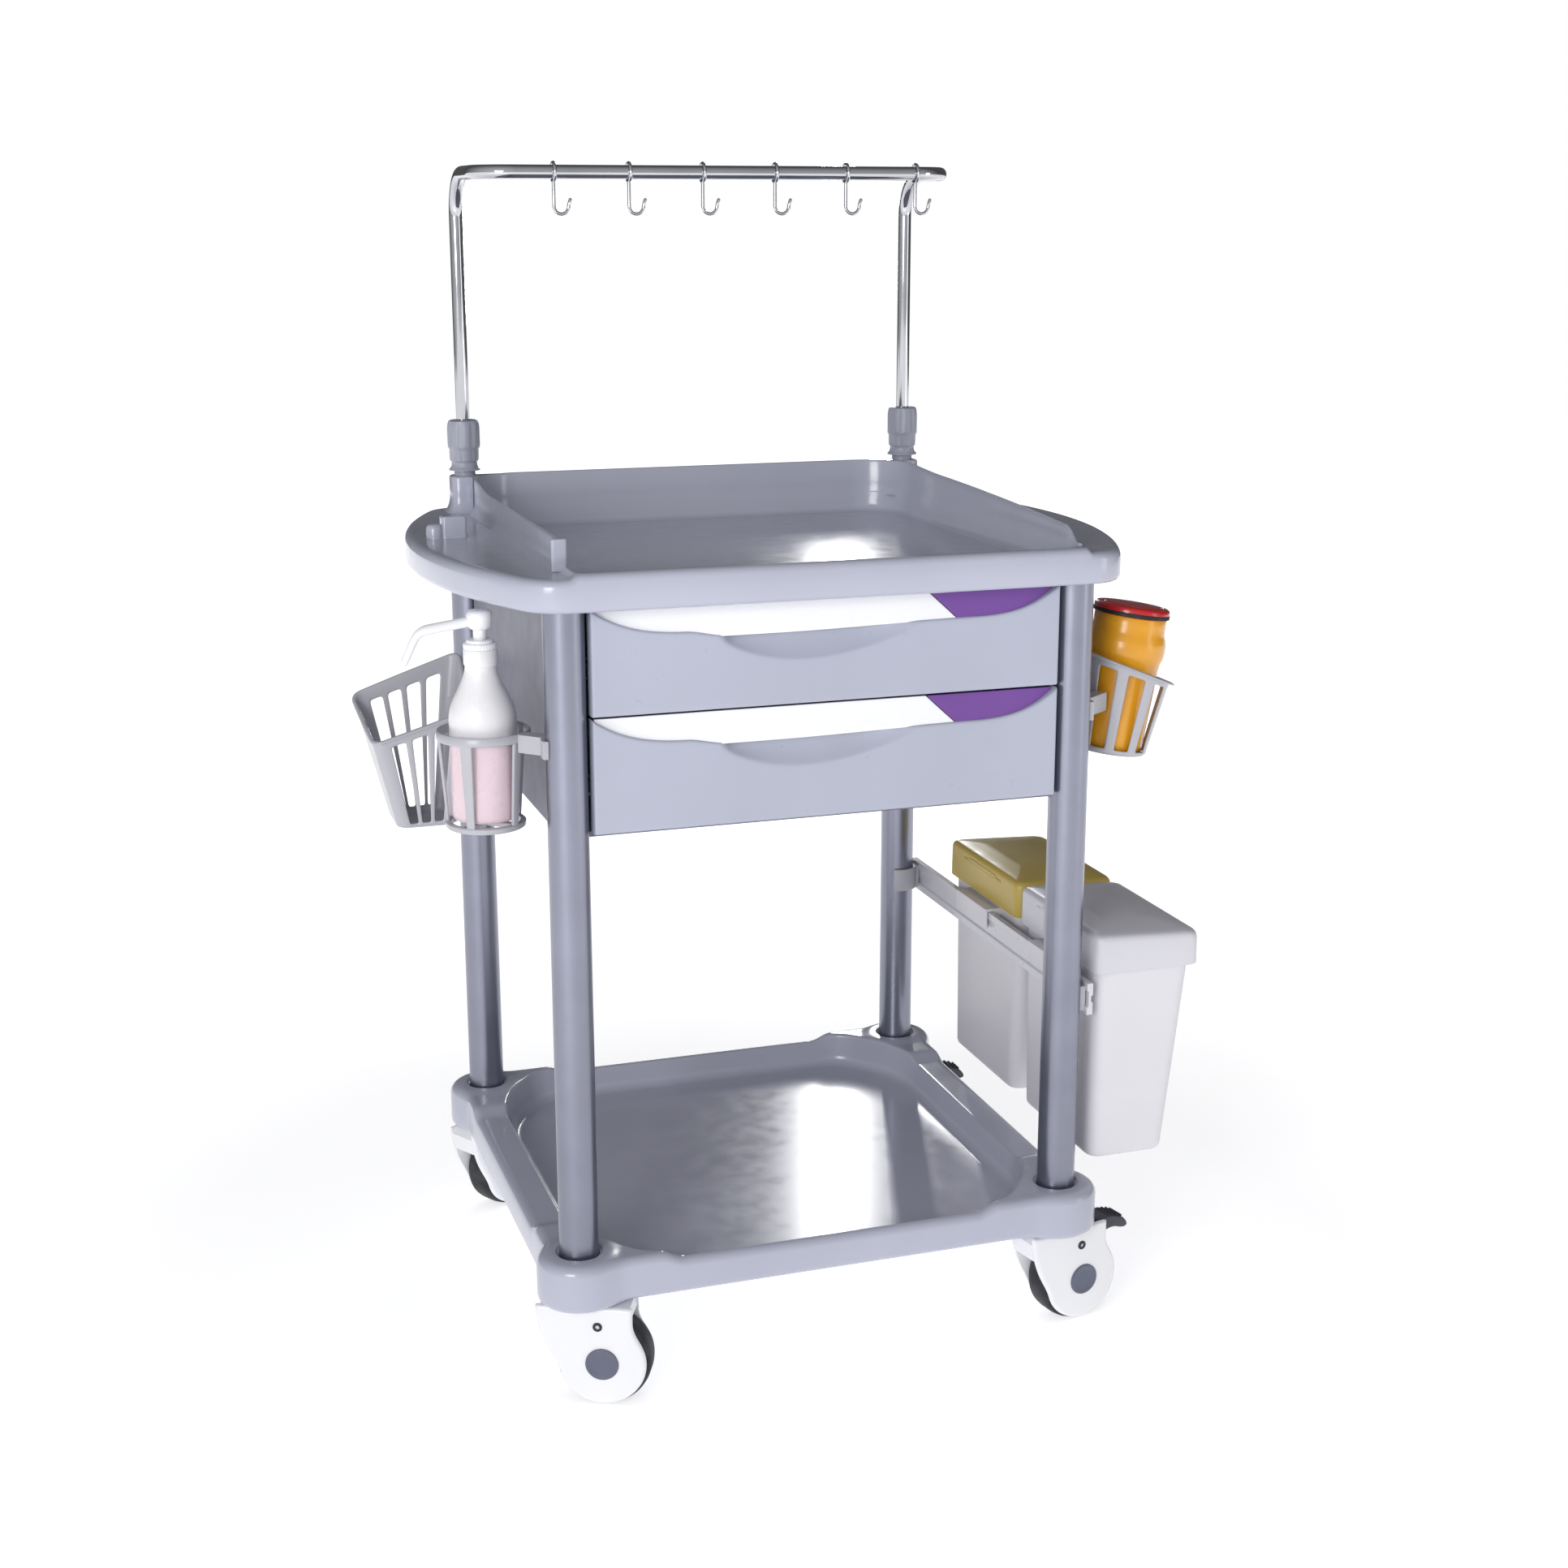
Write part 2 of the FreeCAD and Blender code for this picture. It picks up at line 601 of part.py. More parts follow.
def build_drawer(tag, bottom, top):
    """Box with runners, a front with a finger scoop, a label strip and a corner accent."""
    box_bottom = bottom + "+box_lift"
    body = new_body("drawer_%s_box" % tag)
    shell = outline(sketch(body, "shell", lift=box_bottom), round_corners(
        "-box_half_x", "box_half_x", "-front_back", "box_back", "5"))
    feature(body, "Pad", shell, "box_height")
    inside = outline(sketch(body, "inside", lift=box_bottom + "+box_height"), round_corners(
        "-box_half_x+box_wall", "box_half_x-box_wall", "-front_back+box_wall", "box_back-box_wall", "3"))
    feature(body, "Pocket", inside, "box_height-box_wall")
    node(body.Name, body)

    body = new_body("drawer_%s_front" % tag)
    plate = outline(sketch(body, "plate", "XZ_Plane", "front_back"), box_corners(
        "-front_half_x", "front_half_x", bottom, top))
    feature(body, "Pad", plate, "front_plate")
    left, right, hx = "-127", "134", "front_half_x"
    nose = outline(sketch(body, "nose", "XZ_Plane", "front_back+front_plate"), [
        ("-" + hx, bottom), (hx, bottom), (hx, top), (hx + "-4", top, "-8"), (right, top + "-28"),
        (left, top + "-31", "-9"), ("-%s+4" % hx, top), ("-" + hx, top)])
    feature(body, "Pad", nose, "front_shell")
    scoop = outline(sketch(body, "scoop", "XZ_Plane", "front_back+front_plate+front_shell"), [
        (left, top + "-32", "27"), ("72", top + "-30"), ("60", top + "-20"), (left + "+12", top + "-20")])
    feature(body, "Pocket", scoop, "front_shell-2")
    node(body.Name, body)

    body = new_body("drawer_%s_label_strip" % tag)
    strip = outline(sketch(body, "face", "XZ_Plane", "front_back+front_plate"), [
        (left, top + "-30"), (right + "-2", top + "-27"), ("104", top), ("-%s+6" % hx, top, "9")])
    feature(body, "Pad", strip, "4")
    node(body.Name, body)

    body = new_body("drawer_%s_accent" % tag)
    wedge = outline(sketch(body, "face", "XZ_Plane", "front_back+front_plate"), [
        (right, top + "-27", "7.6"), (hx + "-6", top), ("106", top)])
    feature(body, "Pad", wedge, "9")
    node(body.Name, body)

    parts = []
    middle = box_bottom + "+30"
    for side, sx in SIDES:
        limits = [("box_half_x", "box_half_x+2.5", "-12", "+12"),
            ("box_half_x+2.5", "box_half_x+12.5", "-6", "+6")]
        pair = []
        for number, (low, high, down, up) in enumerate(limits):
            across = ("-(%s)" % high, "-(%s)" % low) if sx < 0 else (low, high)
            pair.append(block("runner_%s_%s_%d" % (tag, side, number), *across, "-front_back+4",
                "box_back-4",
                              middle + down, middle + up))
        parts.append(fused("runner_%s_%s" % (tag, side), pair))
    node("drawer_%s_runners" % tag, group("drawer_%s_runners" % tag, parts))


CASTERS = (
    ("front_left", -1, -1, "-25", False),
    ("front_right", 1, -1, "12", True),
    ("back_left", -1, 1, "30", False),
    ("back_right", 1, 1, "0", True),
)


def build_caster(tag, sx, sy, turn, braked):
    """Cover, axle with caps, wheel and, on a braked caster, its pedal. X of the caster points along the trail."""
    spot = ("%d*column_x" % sx, "%d*column_y" % sy, "0", turn)

    body = new_body("caster_%s_fork" % tag)
    hood = outline(sketch(body, "hood", "XZ_Plane"), [
        ("-44", "88", "-6"), ("trail-cover_radius+3", "wheel_radius-14"), ("trail+20", "wheel_radius-20"),
        ("trail+34", "76"), ("pedal_x+8", "92"), ("pedal_x+8", "pedal_z", "3"), ("pedal_x", "hood_top"),
        ("-36", "hood_top", "2.35"), ("-44", "hood_top-8")])
    feature(body, "Pad", hood, "2*fork_half", both=True)
    cover = circle(sketch(body, "cover", "XZ_Plane"), "cover_radius", "trail", "wheel_radius")
    feature(body, "Pad", cover, "2*fork_half", both=True)
    slot = circle(sketch(body, "slot", "XZ_Plane"), "wheel_radius+3", "trail", "wheel_radius")
    feature(body, "Pocket", slot, "2*fork_slot", both=True)
    window = outline(sketch(body, "window", "XZ_Plane"),
        box_corners("pedal_x-12", "pedal_x+12", "60", "hood_top+1"))
    feature(body, "Pocket", window, "2*(wheel_half-1)", both=True)
    holes = sketch(body, "holes", "XZ_Plane")
    circle(holes, "axle_radius+fit_gap", "trail", "wheel_radius")
    circle(holes, "3+fit_gap", "pedal_x", "pedal_z")
    feature(body, "Pocket", holes, "3*fork_half", both=True)
    swivel = circle(sketch(body, "swivel", lift="hood_top"), "stem_radius+fit_gap")
    feature(body, "Pocket", swivel, "hood_top-wheel_radius")
    place(body, *spot)
    node(body.Name, body)

    axle = rod(tag + "_axle", "axle_radius", "2*fork_half", "trail", "-fork_half", "wheel_radius", "y")
    caps = [
        rod(tag + "_cap_near", "cap_radius", "2", "trail", "-fork_half-2", "wheel_radius", "y"),
        rod(tag + "_cap_far", "cap_radius", "2", "trail", "fork_half", "wheel_radius", "y"),
    ]
    screws = [
        rod(tag + "_screw_near", "5", "1.5", "trail-4", "-fork_half-1.5", "92", "y"),
        rod(tag + "_screw_far", "5", "1.5", "trail-4", "fork_half", "92", "y"),
    ]
    pieces = group("caster_%s_axle_set" % tag, [fused(tag + "_axle_and_caps", [axle] + caps)] + screws)
    place(pieces, *spot)
    node(pieces.Name, pieces)

    body = new_body("caster_%s_wheel" % tag)
    rim, half = "wheel_radius", "wheel_half"
    bore = "axle_radius+fit_gap"
    section = outline(sketch(body, "section"), [
        (bore, "-%s+1" % half), ("12", "-%s+1" % half), ("15", "-6"), (rim + "-16", "-6"),
        (rim + "-13", "-%s" % half),
        (rim + "-6", "-%s" % half, "2"), (rim, "-%s+7" % half, "0.2"), (rim, "%s-7" % half, "2"),
        (rim + "-6", half), (rim + "-13", half), (rim + "-16", "6"), ("15", "6"), ("12", "%s-1" % half),
        (bore, "%s-1" % half)])
    turned(body, section)
    place(body, "%s+trail*cos(%s)" % (spot[0], turn), "%s+trail*sin(%s)" % (spot[1], turn), "wheel_radius",
        turn)
    node(body.Name, body)

    if braked:
        body = new_body("brake_pedal_" + tag)
        lever = outline(sketch(body, "lever", "XZ_Plane"), [
            ("pedal_x", "pedal_z-8", "1"), ("pedal_x+26", "pedal_z-3"), ("pedal_x+40", "pedal_z-9"),
            ("pedal_x+44", "pedal_z-5", "2"), ("pedal_x+28", "pedal_z+9", "1"),
            ("pedal_x", "pedal_z+8", "7")])
        feature(body, "Pad", lever, "2*(wheel_half-2)", both=True)
        pin = circle(sketch(body, "pin", "XZ_Plane"), "3", "pedal_x", "pedal_z")
        feature(body, "Pad", pin, "2*fork_half-2", both=True)
        place(body, *spot)
        node(body.Name, body)


def build_fasteners():
    """Caster stems with their swivel plates, and the bolts that hold the worktop on the front columns."""
    stems = []
    for tag, sx, sy, _, _ in CASTERS:
        x, y = "%d*column_x" % sx, "%d*column_y" % sy
        stems.append(fused("stem_" + tag, [
            rod("stem_pin_" + tag, "stem_radius", "base_boss-socket_depth-hood_top+11", x, y,
            "hood_top-11"),
            rod("stem_plate_" + tag, "22", "boss_under-hood_top-0.4", x, y, "hood_top+0.4"),
            rod("stem_plug_" + tag, "hub_bore-fit_gap", "60", x, y, "base_boss-socket_depth"),
        ]))
    bolts = []
    for side, sx in SIDES:
        x, y = "%d*column_x" % sx, "-column_y"
        bolts.append(fused("top_bolt_" + side, [
            rod("bolt_shank_" + side, "stem_radius", "bolt_depth", x, y, "top_under"),
            rod("bolt_plug_" + side, "hub_bore-fit_gap", "45", x, y, "top_under-45"),
        ]))
    node("column_fasteners", group("column_fasteners", stems + bolts))


# ---- infusion frame ---------------------------------------------------------------------------------------

def build_infusion_frame():
    """Sockets in the worktop, clamp collars, and one bent tube that makes both poles and the hanging bar."""
    sockets = []
    for side, sx in SIDES:
        x = "%d*column_x" % sx
        wall = rod("socket_wall_" + side, "socket_radius", "socket_top-top_under", x, "column_y",
            "top_under")
        bore = rod("socket_bore_" + side, "pole_radius+fit_gap", "socket_top-top_under+2", x, "column_y",
            "top_under-1")
        sockets.append(cut("socket_" + side, wall, bore))
        body = new_body("collar_" + side)
        bore = "pole_radius+fit_gap"
        wide = "socket_radius+0.4"
        section = outline(sketch(body, "section", "XZ_Plane"), [
            (wide, "collar_bottom"), ("15", "collar_bottom"), ("15.5", "socket_top-6"),
            ("collar_radius", "socket_top-2"),
            ("collar_radius", "collar_top-4", "1"), ("collar_radius-4", "collar_top"), (bore, "collar_top"),
            (bore, "socket_top+3"), (wide, "socket_top+3")])
        turned(body, section)
        place(body, x, "column_y")
        node(body.Name, body)
    node("iv_sockets", group("iv_sockets", sockets))
    x, y, top = dim("column_x"), dim("column_y"), dim("bar_z")
    points = [V(-x, y, dim("pole_bottom")), V(-x, y, top), V(-x, dim("bar_y"), top),
        V(x, dim("bar_y"), top),
              V(x, y, top), V(x, y, dim("pole_bottom"))]
    radii = [dim("pole_bend"), dim("pole_corner"), dim("pole_corner"), dim("pole_bend")]
    path = route(points, radii)
    frame = tube(path, dim("pole_radius")).cut(tube(path, dim("pole_radius-pole_wall")))
    node("iv_frame", shaped("iv_frame", frame))


def build_hooks():
    """Six hooks: an eye round the bar, a straight neck and a bow that ends in a short upright tip."""
    wire = dim("hook_wire")
    eye = dim("pole_radius+clear_gap+hook_wire")
    drop, bow = dim("hook_drop"), dim("hook_bow")
    ring = Part.makeTorus(eye, wire, V(0, 0, 0), V(1, 0, 0))
    low = -eye - drop
    neck = Part.LineSegment(V(0, 0, -eye), V(0, 0, low)).toShape()
    turn = Part.Arc(V(0, 0, low), V(bow, 0, low - bow), V(2 * bow, 0, low)).toShape()
    tip = Part.LineSegment(V(2 * bow, 0, low), V(2 * bow + 2, 0, low + 7)).toShape()
    hook = ring.fuse(tube(Part.Wire([neck, turn, tip]), wire)).removeSplitter()
    for number in range(6):
        name = "hook_%d" % (number + 1)
        spot = V(dim("hook_first+%d*hook_pitch" % number), dim("bar_y"), dim("bar_z"))
        node(name, shaped(name, hook, FreeCAD.Placement(spot, FreeCAD.Rotation())))


# ---- side accessories -------------------------------------------------------------------------------------

def build_bin_rail():
    """Flat rail along the right side, between the clamps."""
    rail = block("rail_bar", "rail_x", "rail_x+rail_wall", "-column_y-12", "column_y+12", "rail_bottom",
        "rail_top")
    groove = block("rail_groove", "rail_x+rail_wall-2", "rail_x+rail_wall+1", "-column_y-13", "column_y+13",
                   "(rail_bottom+rail_top)/2-4", "(rail_bottom+rail_top)/2+4")
    node("bin_rail", cut("bin_rail", rail, groove))


def clamp_ring(x, y, z, height, angle, reach, width, seat=None):
    """Saddle on the outer side of a column, open towards the cart and, on the front columns, towards the front.
    Its arm runs at an angle (degrees from +X) and ends on the surface of a seat solid when one is given."""
    inner, outer = dim("column_radius+fit_gap"), dim("column_radius+fit_gap+4.4")
    spot = V(x, y, z)
    band = Part.makeCylinder(outer, height, spot)
    arm = Part.makeBox(reach, width, height, V(0, -width / 2, 0))
    arm.Placement = FreeCAD.Placement(spot, FreeCAD.Rotation(UP, angle))
    opening = Part.makeBox(outer, 3 * outer, height + 2, V(x - outer * (x > 0), y - 1.5 * outer, z - 1))
    opening.translate(V(-0.55 * inner if x > 0 else 0.55 * inner, 0, 0))
    cuts = [Part.makeCylinder(inner, height + 2, spot - V(0, 0, 1)), opening]
    if y < 0:
        cuts.append(Part.makeBox(4 * outer, 2 * outer, height + 2,
            V(x - 2 * outer, y - 2.3 * outer, z - 1)))
    shape = band.fuse(arm).cut(cuts)
    return shape.cut(seat) if seat else shape


def toward(x, y, target_x, target_y):
    """Direction in degrees and distance from one point to another."""
    return math.degrees(math.atan2(target_y - y, target_x - x)), math.hypot(target_x - x, target_y - y)


def build_clamps():
    """The column clamps of the rail, the bottle holder, the basket and the sharps holder."""
    x, y = dim("column_x"), dim("column_y")
    rings = []
    for end in (-y, y):
        rings.append(clamp_ring(x, end, dim("rail_bottom+4"), dim("rail_top-rail_bottom-8"), 0,
                                dim("rail_x-column_x"), 24))
    bottle = V(dim("bottle_x"), dim("bottle_y"), 0)
    angle, reach = toward(-x, -y, bottle.x, bottle.y)
    rings.append(clamp_ring(-x, -y, dim("ring_z-9"), 18, angle, reach - dim("ring_radius-4"), 16,
                            Part.makeCylinder(dim("ring_radius"), 900, bottle)))
    cup = sharps_cone()
    angle, reach = toward(x, -y, cup.BoundBox.Center.x, dim("sharps_y"))
    rings.append(clamp_ring(x, -y, dim("sharps_z+50"), 20, angle, reach - 44, 16, cup))
    corner = V(dim("-column_x-36"), dim("column_y-48"), 0)
    angle, reach = toward(-x, y, corner.x, corner.y)
    rings.append(clamp_ring(-x, y, 640, 22, angle, reach + 6, 14, basket_loft(0)))
    parts = [shaped("clamp_%d" % number, ring) for number, ring in enumerate(rings)]
    node("accessory_clamps", group("accessory_clamps", parts))


def build_bin(tag, middle):
    """Tapered bin with a hanger over the rail and hinge clips, and its hinged lid."""
    body = new_body("bin_" + tag)
    wall = "bin_wall"
    outer_low = outline(sketch(body, "outer_low", lift="bin_bottom"), round_corners(
        "6", "bin_foot_reach", "-bin_foot_half_y", "bin_foot_half_y", "14"))
    outer_high = outline(sketch(body, "outer_high", lift="bin_top"), round_corners(
        "6", "bin_reach", "-bin_half_y", "bin_half_y", "14"))
    shell = body.newObject("PartDesign::AdditiveLoft", body.Name + "_shell")
    shell.Profile = outer_low
    shell.Sections = [outer_high]
    inner_low = outline(sketch(body, "inner_low", lift="bin_bottom+" + wall), round_corners(
        "6+" + wall, "bin_foot_reach-" + wall, "-bin_foot_half_y+" + wall, "bin_foot_half_y-" + wall,
        "11.5"))
    inner_high = outline(sketch(body, "inner_high", lift="bin_top"), round_corners(
        "6+" + wall, "bin_reach-" + wall, "-bin_half_y+" + wall, "bin_half_y-" + wall, "11.5"))
    hollow = body.newObject("PartDesign::SubtractiveLoft", body.Name + "_hollow")
    hollow.Profile = inner_low
    hollow.Sections = [inner_high]
    rail = "rail_x-bin_x"
    hanger = outline(sketch(body, "hanger", "XZ_Plane"), [
        ("6.5", "rail_top-8"), ("6.5", "rail_top+4"), (rail + "-4", "rail_top+4"),
        (rail + "-4", "rail_top-20"),
        (rail + "-1", "rail_top-20"), (rail + "-1", "rail_top+0.4"),
        (rail + "+rail_wall+1", "rail_top+0.4"),
        (rail + "+rail_wall+1", "rail_top-8")])
    feature(body, "Pad", hanger, "90", both=True)
    clip_low = outline(sketch(body, "clip", "XZ_Plane"), [
        ("1", "bin_top-16"), ("6.5", "bin_top-16"), ("6.5", "bin_top+2"), ("0", "bin_top+2", "3"),
        ("-3", "bin_top-6")])
    feature(body, "Pad", clip_low, "110", both=True)
    gap = outline(sketch(body, "gap", "XZ_Plane"), box_corners("-6", "6.4", "bin_top-20", "bin_top+6"))
    feature(body, "Pocket", gap, "86", both=True)
    pivot = circle(sketch(body, "pivot", "XZ_Plane"), "2+fit_gap", "2", "bin_top-3")
    feature(body, "Pocket", pivot, "120", both=True)
    place(body, "bin_x", middle)
    node(body.Name, body)

    body = new_body("bin_%s_lid" % tag)
    reach, half = "bin_reach+4", "(bin_half_y+4)"
    cap = outline(sketch(body, "cap", lift="lid_skirt"), round_corners("0", reach, "-" + half, half, "15"))
    feature(body, "Pad", cap, "lid_top-lid_skirt")
    inside = outline(sketch(body, "inside", lift="lid_skirt"), round_corners(
        "-20", reach + "-2.5", "-%s+2.5" % half, half + "-2.5", "12.5"))
    pocket = feature(body, "Pocket", inside, "lid_top-lid_skirt-3")
    pocket.Reversed = True
    back = outline(sketch(body, "back", lift="lid_skirt"),
        box_corners("-1", "6", "-%s-1" % half, half + "+1"))
    pocket = feature(body, "Pocket", back, "lid_top-lid_skirt-3")
    pocket.Reversed = True
    panel = outline(sketch(body, "panel", lift="lid_top"), round_corners(
        "14", reach + "-14", "-%s+14" % half, half + "-14", "10"))
    feature(body, "Pad", panel, "5", taper="20")
    tongue = outline(sketch(body, "tongue", "XZ_Plane"), [
        ("2", "bin_top-5.5", "1.6"), ("5", "bin_top-2"), ("5", "lid_top-3"), ("0.5", "lid_top-3"),
        ("-0.6", "bin_top-2", "1.6")])
    feature(body, "Pad", tongue, "80", both=True)
    pin = circle(sketch(body, "pin", "XZ_Plane"), "2", "2", "bin_top-3")
    feature(body, "Pad", pin, "108", both=True)
    place(body, "bin_x", middle)
    node(body.Name, body)


def build_bottle():
    """Blown bottle on its holder's foot, and the pump with its spout."""
    body = new_body("bottle")
    radius, foot = "bottle_radius", "bottle_z"
    section = outline(sketch(body, "section", "XZ_Plane"), [
        ("0", foot), (radius + "-5", foot, "1.5"), (radius, foot + "+5"), (radius, foot + "+100", "5"),
        ("20", foot + "+143", "-2"), ("15", foot + "+156"), ("15", foot + "+172"), ("9", foot + "+172"),
        ("9", foot + "+156"), ("17", foot + "+140", "-5"), (radius + "-2", foot + "+100"),
        (radius + "-2", foot + "+3"), ("0", foot + "+3")])
    turned(body, section)
    place(body, "bottle_x", "bottle_y")
    node("bottle", body)

    collar = Part.makeCylinder(14.5, 9, V(0, 0, dim(foot) + 172.2))
    collar = collar.cut(Part.makeCylinder(5.2, 12, V(0, 0, dim(foot) + 171)))
    node("pump_collar", shaped("pump_collar", collar,
        FreeCAD.Placement(V(dim("bottle_x"), dim("bottle_y"), 0),
                                                                          FreeCAD.Rotation())))
    stem = Part.makeCylinder(5, 60, V(0, 0, dim(foot) + 135))
    head = Part.makeCylinder(13, 14, V(0, 0, dim(foot) + 193)).fuse(Part.makeCone(13, 9, 3.5,
        V(0, 0, dim(foot) + 207)))
    spout_path = route([V(0, 0, dim(foot) + 202), V(-54, 3, dim(foot) + 195), V(-76, 5, dim(foot) + 164)],
        [18])
    spout = tube(spout_path, 4)
    pump = stem.fuse([head, spout]).removeSplitter()
    node("pump_head", shaped("pump_head", pump, FreeCAD.Placement(V(dim("bottle_x"), dim("bottle_y"), 0),
                                                                    FreeCAD.Rotation())))


def build_bottle_holder():
    """Ring, foot ring with a cross, and five straps between them."""
    spot = V(dim("bottle_x"), dim("bottle_y"), 0)
    top, foot = dim("ring_z"), dim("bottle_z")
    outer = dim("ring_radius")
    inner = outer - 4
    shape = Part.makeCylinder(outer, 9, V(0, 0, top)).cut(Part.makeCylinder(inner, 11, V(0, 0, top - 1)))
    low = Part.makeCylinder(40, 6, V(0, 0, foot - 8)).cut(Part.makeCylinder(34.5, 8, V(0, 0, foot - 9)))
    pieces = [low]
    for angle in (0, 90):
        bar = Part.makeBox(76, 9, 5, V(-38, -4.5, foot - 7))
        bar.rotate(V(0, 0, 0), UP, angle + 45)
        pieces.append(bar)
    for number in range(5):
        strap = Part.makeBox(4, 9, top - foot + 12, V(0, -4.5, 0))
        lean = math.degrees(math.atan2(outer - 4 - 36, top - foot + 8))
        strap.Placement = FreeCAD.Placement(V(36, 0, foot - 8), FreeCAD.Rotation(V(0, 1, 0), lean))
        strap.rotate(V(0, 0, 0), UP, 72 * number + 20)
        pieces.append(strap)
    shape = shape.fuse(pieces).removeSplitter()
    node("bottle_holder", shaped("bottle_holder", shape, FreeCAD.Placement(spot, FreeCAD.Rotation())))


def ring_wire(x0, x1, y0, y1, z, radius):
    """Rectangle with round corners at one height."""
    flat = [V(x1, y0, z), V(x1, y1, z), V(x0, y1, z), V(x0, y0, z)]
    start = (flat[0] + flat[3]) * 0.5
    edges = []
    for before, corner, after in zip([flat[3]] + flat[:3], flat, flat[1:] + [flat[0]]):
        into = corner + (before - corner).normalize() * radius
        out = corner + (after - corner).normalize() * radius
        centre = into + out - corner
        middle = centre + (corner - centre).normalize() * radius
        edges.append(Part.LineSegment(start, into).toShape())
        edges.append(Part.Arc(into, middle, out).toShape())
        start = out
    edges.append(Part.LineSegment(start, (flat[0] + flat[3]) * 0.5).toShape())
    return Part.Wire(edges)


def basket_loft(grow):
    """Flared block of the basket's outer form, grown or shrunk sideways."""
    y, low, high = dim("basket_y"), dim("basket_foot"), dim("basket_foot+232")
    return Part.makeLoft([
        ring_wire(-380 - grow, -318 + grow, y - 32 - grow, y + 32 + grow, low + max(-grow, 0), 14 + grow),
        ring_wire(-440 - grow, -286 + grow, y - 62 - grow, y + 52 + grow, high + (grow < 0), 20 + grow),
    ], True, True)


def build_basket():
    """Flared basket whose rim falls outwards and forwards, with slots in its back and front walls."""
    y, low = dim("basket_y"), dim("basket_foot")
    inner = basket_loft(-3)
    tilt = FreeCAD.Rotation(V(0, 1, 0), -18) * FreeCAD.Rotation(V(1, 0, 0), 24)
    above = Part.makeBox(400, 400, 200, V(-200, -200, 0))
    above.Placement = FreeCAD.Placement(V(-358, y, low + 141), tilt)
    lip = Part.makeBox(400, 400, 3, V(-200, -200, -3))
    lip.Placement = above.Placement
    basket = basket_loft(0).cut([inner, above]).fuse(basket_loft(3).cut(inner).common(lip))
    slots = []
    for count, x0, pitch, size in ((4, -386, 20, (10, 60, 118)), (3, -372, 19, (9, 60, 72))):
        for number in range(count):
            spot = V(x0 + pitch * number, y + 20 if count == 4 else y - 82, low + 16)
            slot = Part.makeBox(size[0], size[1], size[2] + 8 * number * (count == 4), spot)
            slot.rotate(V(spot.x, y, low), V(0, 1, 0), -8)
            slots.append(slot)
    node("basket", shaped("basket", basket.cut(slots).removeSplitter()))


def sharps_placement():
    return FreeCAD.Placement(V(dim("sharps_x"), dim("sharps_y"), dim("sharps_z")),
                             FreeCAD.Rotation(V(0, 1, 0), dim("sharps_lean")))


def sharps_cone():
    """Cone of the sharps cup's outer form, in place."""
    cone = Part.makeCone(42, 57, 130, V(0, 0, -3))
    cone.Placement = sharps_placement()
    return cone


def build_sharps():
    """Slatted cup that leans outwards, the container that stands in it, and the container's turning lid."""
    inner = Part.makeCone(39.5, 54.5, 130)
    cone = Part.makeCone(42, 57, 130, V(0, 0, -3)).cut(inner)
    wide = Part.makeCone(49, 64, 130, V(0, 0, -3)).cut(inner)
    plane = FreeCAD.Placement(V(0, 0, 92), FreeCAD.Rotation(V(0, 1, 0), 13))
    above = Part.makeBox(300, 300, 150, V(-150, -150, 0))
    above.Placement = plane
    lip = Part.makeBox(300, 300, 3, V(-150, -150, -3))
    lip.Placement = plane
    cup = cone.cut(above).fuse(wide.common(lip))
    slots = []
    for number in range(10):
        slot = Part.makeBox(40, 15, 60, V(34, -7.5, 10))
        slot.rotate(V(0, 0, 0), UP, 36 * number)
        slots.append(slot)
    cup = cup.cut(slots)
    node("sharps_holder", shaped("sharps_holder", cup, sharps_placement()))

    body = new_body("sharps_container")
    section = outline(sketch(body, "section", "XZ_Plane"), [
        ("0", "0.3"), ("34", "0.3", "1"), ("37", "3"), ("39.5", "96"), ("43", "110", "1.5"), ("43", "122"),
        ("39", "130"),
        ("39", "147"), ("37", "147"), ("37", "130"), ("41", "120"), ("41", "111"), ("37.5", "97"),
        ("35", "3"), ("0", "3")])
    turned(body, section)
    body.Placement = sharps_placement()
    node("sharps_container", body)

    body = new_body("sharps_lid")
    section = outline(sketch(body, "section", "XZ_Plane"), [
        ("0", "147.3"), ("41", "147.3"), ("41", "155", "1"), ("37", "159"), ("0", "160")])
    turned(body, section)
    body.Placement = sharps_placement()
    node("sharps_lid", body)


# ---- assembly ---------------------------------------------------------------------------------------------

def check_and_write():
    """Stop on any failed object or bad shape; otherwise write one STEP file for each node."""
    doc.recompute()
    failed = [o.Name for o in doc.Objects if "Invalid" in o.State or "Error" in o.State]
    if failed:
        raise SystemExit("failed objects: " + ", ".join(failed))
    os.makedirs("parts", exist_ok=True)
    for name in os.listdir("parts"):
        os.remove(os.path.join("parts", name))
    for item in NODES:
        shape = item.Shape
        if shape.isNull() or not shape.isValid():
            raise SystemExit("bad shape: " + item.Label)
        shape.exportStep(os.path.join("parts", item.Label + ".step"))
        print("%-28s solids %d  volume %.0f" % (item.Label, len(shape.Solids), shape.Volume))
    print(len(NODES), "nodes")


def main():
    build_columns()
    build_base_tray()
    build_worktop()
    build_guard_rail()
    build_cabinet()
    build_slide_rails()
    for drawer in DRAWERS:
        build_drawer(*drawer)
    for caster in CASTERS:
        build_caster(*caster)
    build_fasteners()
    build_infusion_frame()
    build_hooks()
    build_bin_rail()
    build_clamps()
    build_bin("front", "bin_front_y")
    build_bin("back", "bin_back_y")
    build_bottle()
    build_bottle_holder()
    build_basket()
    build_sharps()
    check_and_write()


main()
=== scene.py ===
import json
from math import acos, atan2, cos, hypot, pi, radians, sin, sqrt, tan

